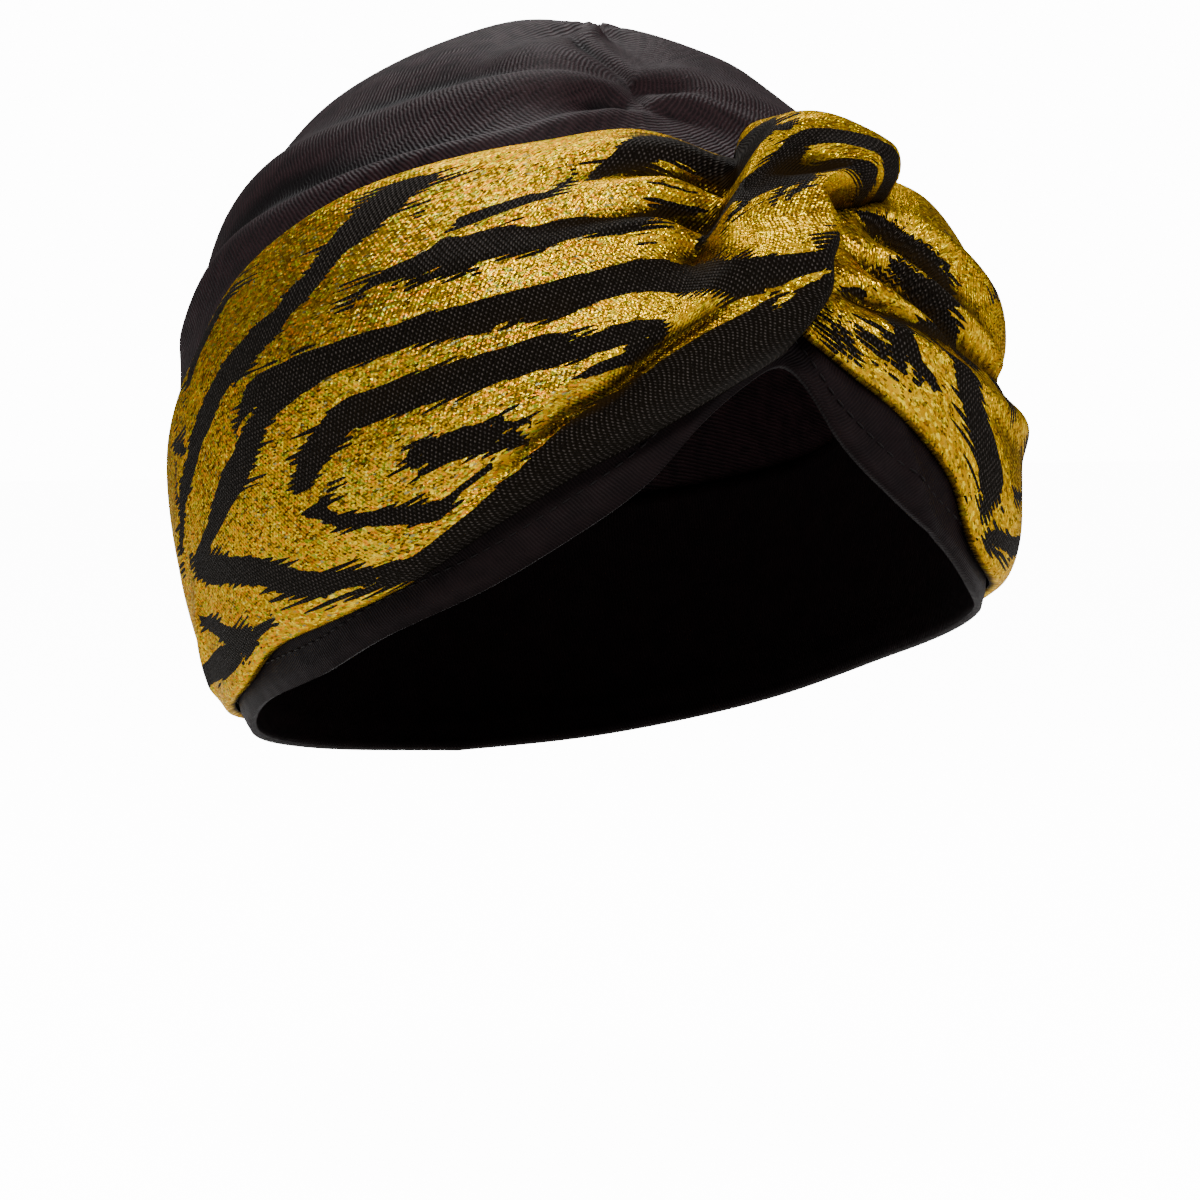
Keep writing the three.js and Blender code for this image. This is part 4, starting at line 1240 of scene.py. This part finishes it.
def jersey_material(name, shine, pitch, relief, deep, soft, ribs):
    """A plain knit of two close dark tones, lighter on its rib crests by painted highlight, and lighter in
    slow patches by its own random tone.
    """
    settings = {"Specular IOR Level": shine, "Sheen Weight": 0.004, "Sheen Roughness": 0.4}
    material, tree, shader = new_material(name, settings)
    lines = use_group(tree, ribs, Cloth=attribute(tree, "cloth"), Pitch=pitch)
    # Painted highlight on the rib crests
    painted_crest_highlight = times(tree, between(tree, lines["Height"], *RIB_HIGHLIGHT_AND_PATCHES["painted_crest_highlight"]), RIB_HIGHLIGHT_AND_PATCHES["crest_share"])
    patch = times(tree, between(tree, lines["Uneven"], *RIB_HIGHLIGHT_AND_PATCHES["patch"]), RIB_HIGHLIGHT_AND_PATCHES["patch_share"])
    share = plus(tree, painted_crest_highlight, patch)
    # The base colour, with painted near-black shade in the creases
    feed(tree, shader.inputs["Base Color"], shaded(tree, blended(tree, share, deep, soft), PAINTED_SHADE_BLACK))
    feed(tree, shader.inputs["Roughness"], between(tree, share, 0.0, 1.0, *JERSEY_ROUGHNESS))
    feed(tree, shader.inputs["Normal"], bump(tree, lines["Height"], relief))
    return material


def thread_material():
    settings = {"Specular IOR Level": 0.1, "Sheen Weight": 0.01}
    material, tree, shader = new_material("stitch_thread", settings)
    where = tree.nodes.new("ShaderNodeTexCoord").outputs["Object"]
    ply = noise(tree, where, THREAD_PLY, 1.0)
    feed(tree, shader.inputs["Base Color"], blended(tree, ply, LINING_DEEP, THREAD))
    feed(tree, shader.inputs["Roughness"], between(tree, ply, 0.0, 1.0, *THREAD_ROUGHNESS))
    feed(tree, shader.inputs["Normal"], bump(tree, ply, THREAD_RELIEF))
    return material


# The pieces
crown = crown_piece()
lining = lining_piece()
stitches = hem_stitches()
right_places, left_places = spread(*RIGHT_SPREAD), spread(*LEFT_SPREAD)
right = wrap_piece(
    "wrap_right", right_surface, right_inside, right_places, RIGHT_ACROSS, right_print, right_painted_flecks
)
left = wrap_piece("wrap_left", left_surface, left_inside, left_places, LEFT_ACROSS, left_print, left_painted_flecks)

# Their materials
ribs = ribs_group()
foil_print = foil_print_material()
ribbed = jersey_material(
    "ribbed_jersey_cloth", CROWN_SHINE, RIB["pitch"], RIB_RELIEF, CROWN_DEEP, CROWN_PATCH_AND_HIGHLIGHT, ribs
)
smooth_jersey = jersey_material(
    "smooth_jersey_cloth", LINING_SHINE, LINING_PITCH, LINING_RELIEF, LINING_DEEP, LINING_PATCH_AND_HIGHLIGHT, ribs
)
thread = thread_material()
looks = {crown: ribbed, lining: smooth_jersey, stitches: thread, right: foil_print, left: foil_print}
for piece, material in looks.items():
    piece.data.materials.append(material)

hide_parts("crown")
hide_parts("lining_band")
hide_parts("band_right", "twist")
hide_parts("band_left")

# Floor, pale world, lights and camera
FLOOR_HEIGHT = -0.155
FLOOR_REACH = 4.0
FLOOR_GLOW = 13.0
WORLD_LIGHT = 0.12
WORLD_SEEN = 14.0
WHITE = (1, 1, 1, 1)
LIGHTS = [
    ("key", (-0.7, -1.4, 1.6), (0.6, 0.6), 70, (1.0, 0.98, 0.95), (0, 0, 0.03)),
    ("fill", (1.5, -1.1, 0.5), (0.6, 1.0), 15, (0.98, 0.98, 1.0), (0, 0, 0.03)),
    ("top", (0.2, 0.9, 1.5), (0.9, 0.5), 30, (1.0, 1.0, 1.0), (0, 0, 0.05)),
]
CAMERA_AZIMUTH = -25
CAMERA_ELEVATION = 3
CAMERA_DISTANCE = 1.3
AIM_BELOW = 0.0117
LENS = 173.55
SENSOR = 36


def add_object(name, data):
    thing = bpy.data.objects.new(name, data)
    bpy.context.scene.collection.objects.link(thing)
    return thing


def aim_at(thing, spot, aim):
    """Places a lamp or camera at a spot, so that it looks at its aim."""
    thing.location = spot
    thing.rotation_euler = (Vector(aim) - Vector(spot)).to_track_quat("-Z", "Y").to_euler()


def area_light(name, spot, size, power, colour, aim):
    light = bpy.data.lights.new(name, "AREA")
    light.shape = "RECTANGLE"
    light.size, light.size_y = size
    light.energy = power
    light.color = colour
    aim_at(add_object(name, light), spot, aim)


def seen_only(tree, plain, seen):
    """One value for the camera's own rays, and a plain one for all others."""
    camera_ray = tree.nodes.new("ShaderNodeLightPath").outputs["Is Camera Ray"]
    return between(tree, camera_ray, 0.0, 1.0, plain, seen)


floor_mesh = bpy.data.meshes.new("floor")
corners = [(-1, -1), (1, -1), (1, 1), (-1, 1)]
floor_points = [(x * FLOOR_REACH, y * FLOOR_REACH, FLOOR_HEIGHT) for x, y in corners]
floor_mesh.from_pydata(floor_points, [], [range(len(corners))])
floor_settings = {"Roughness": 0.9, "Specular IOR Level": 0.1}
floor_settings |= {"Base Color": FLOOR_WHITE, "Emission Color": WHITE}
floor_look, floor_tree, floor_shader = new_material("pale_floor", floor_settings)
feed(floor_tree, floor_shader.inputs["Emission Strength"], seen_only(floor_tree, 0.0, FLOOR_GLOW))
floor_mesh.materials.append(floor_look)
add_object("floor", floor_mesh)

world = bpy.data.worlds.new("pale_room")
world.use_nodes = True
backdrop = world.node_tree.nodes["Background"]
backdrop.inputs["Color"].default_value = WHITE
feed(world.node_tree, backdrop.inputs["Strength"], seen_only(world.node_tree, WORLD_LIGHT, WORLD_SEEN))
bpy.context.scene.world = world

for light_row in LIGHTS:
    area_light(*light_row)

back = Vector(direction(CAMERA_AZIMUTH, CAMERA_ELEVATION))
up_view = back.cross(Vector((0, 0, 1)).cross(back).normalized())
lens = bpy.data.cameras.new("camera")
lens.lens = LENS
lens.sensor_width = SENSOR
camera = add_object("camera", lens)
aim_at(camera, back * CAMERA_DISTANCE, -up_view * AIM_BELOW)
bpy.context.scene.camera = camera
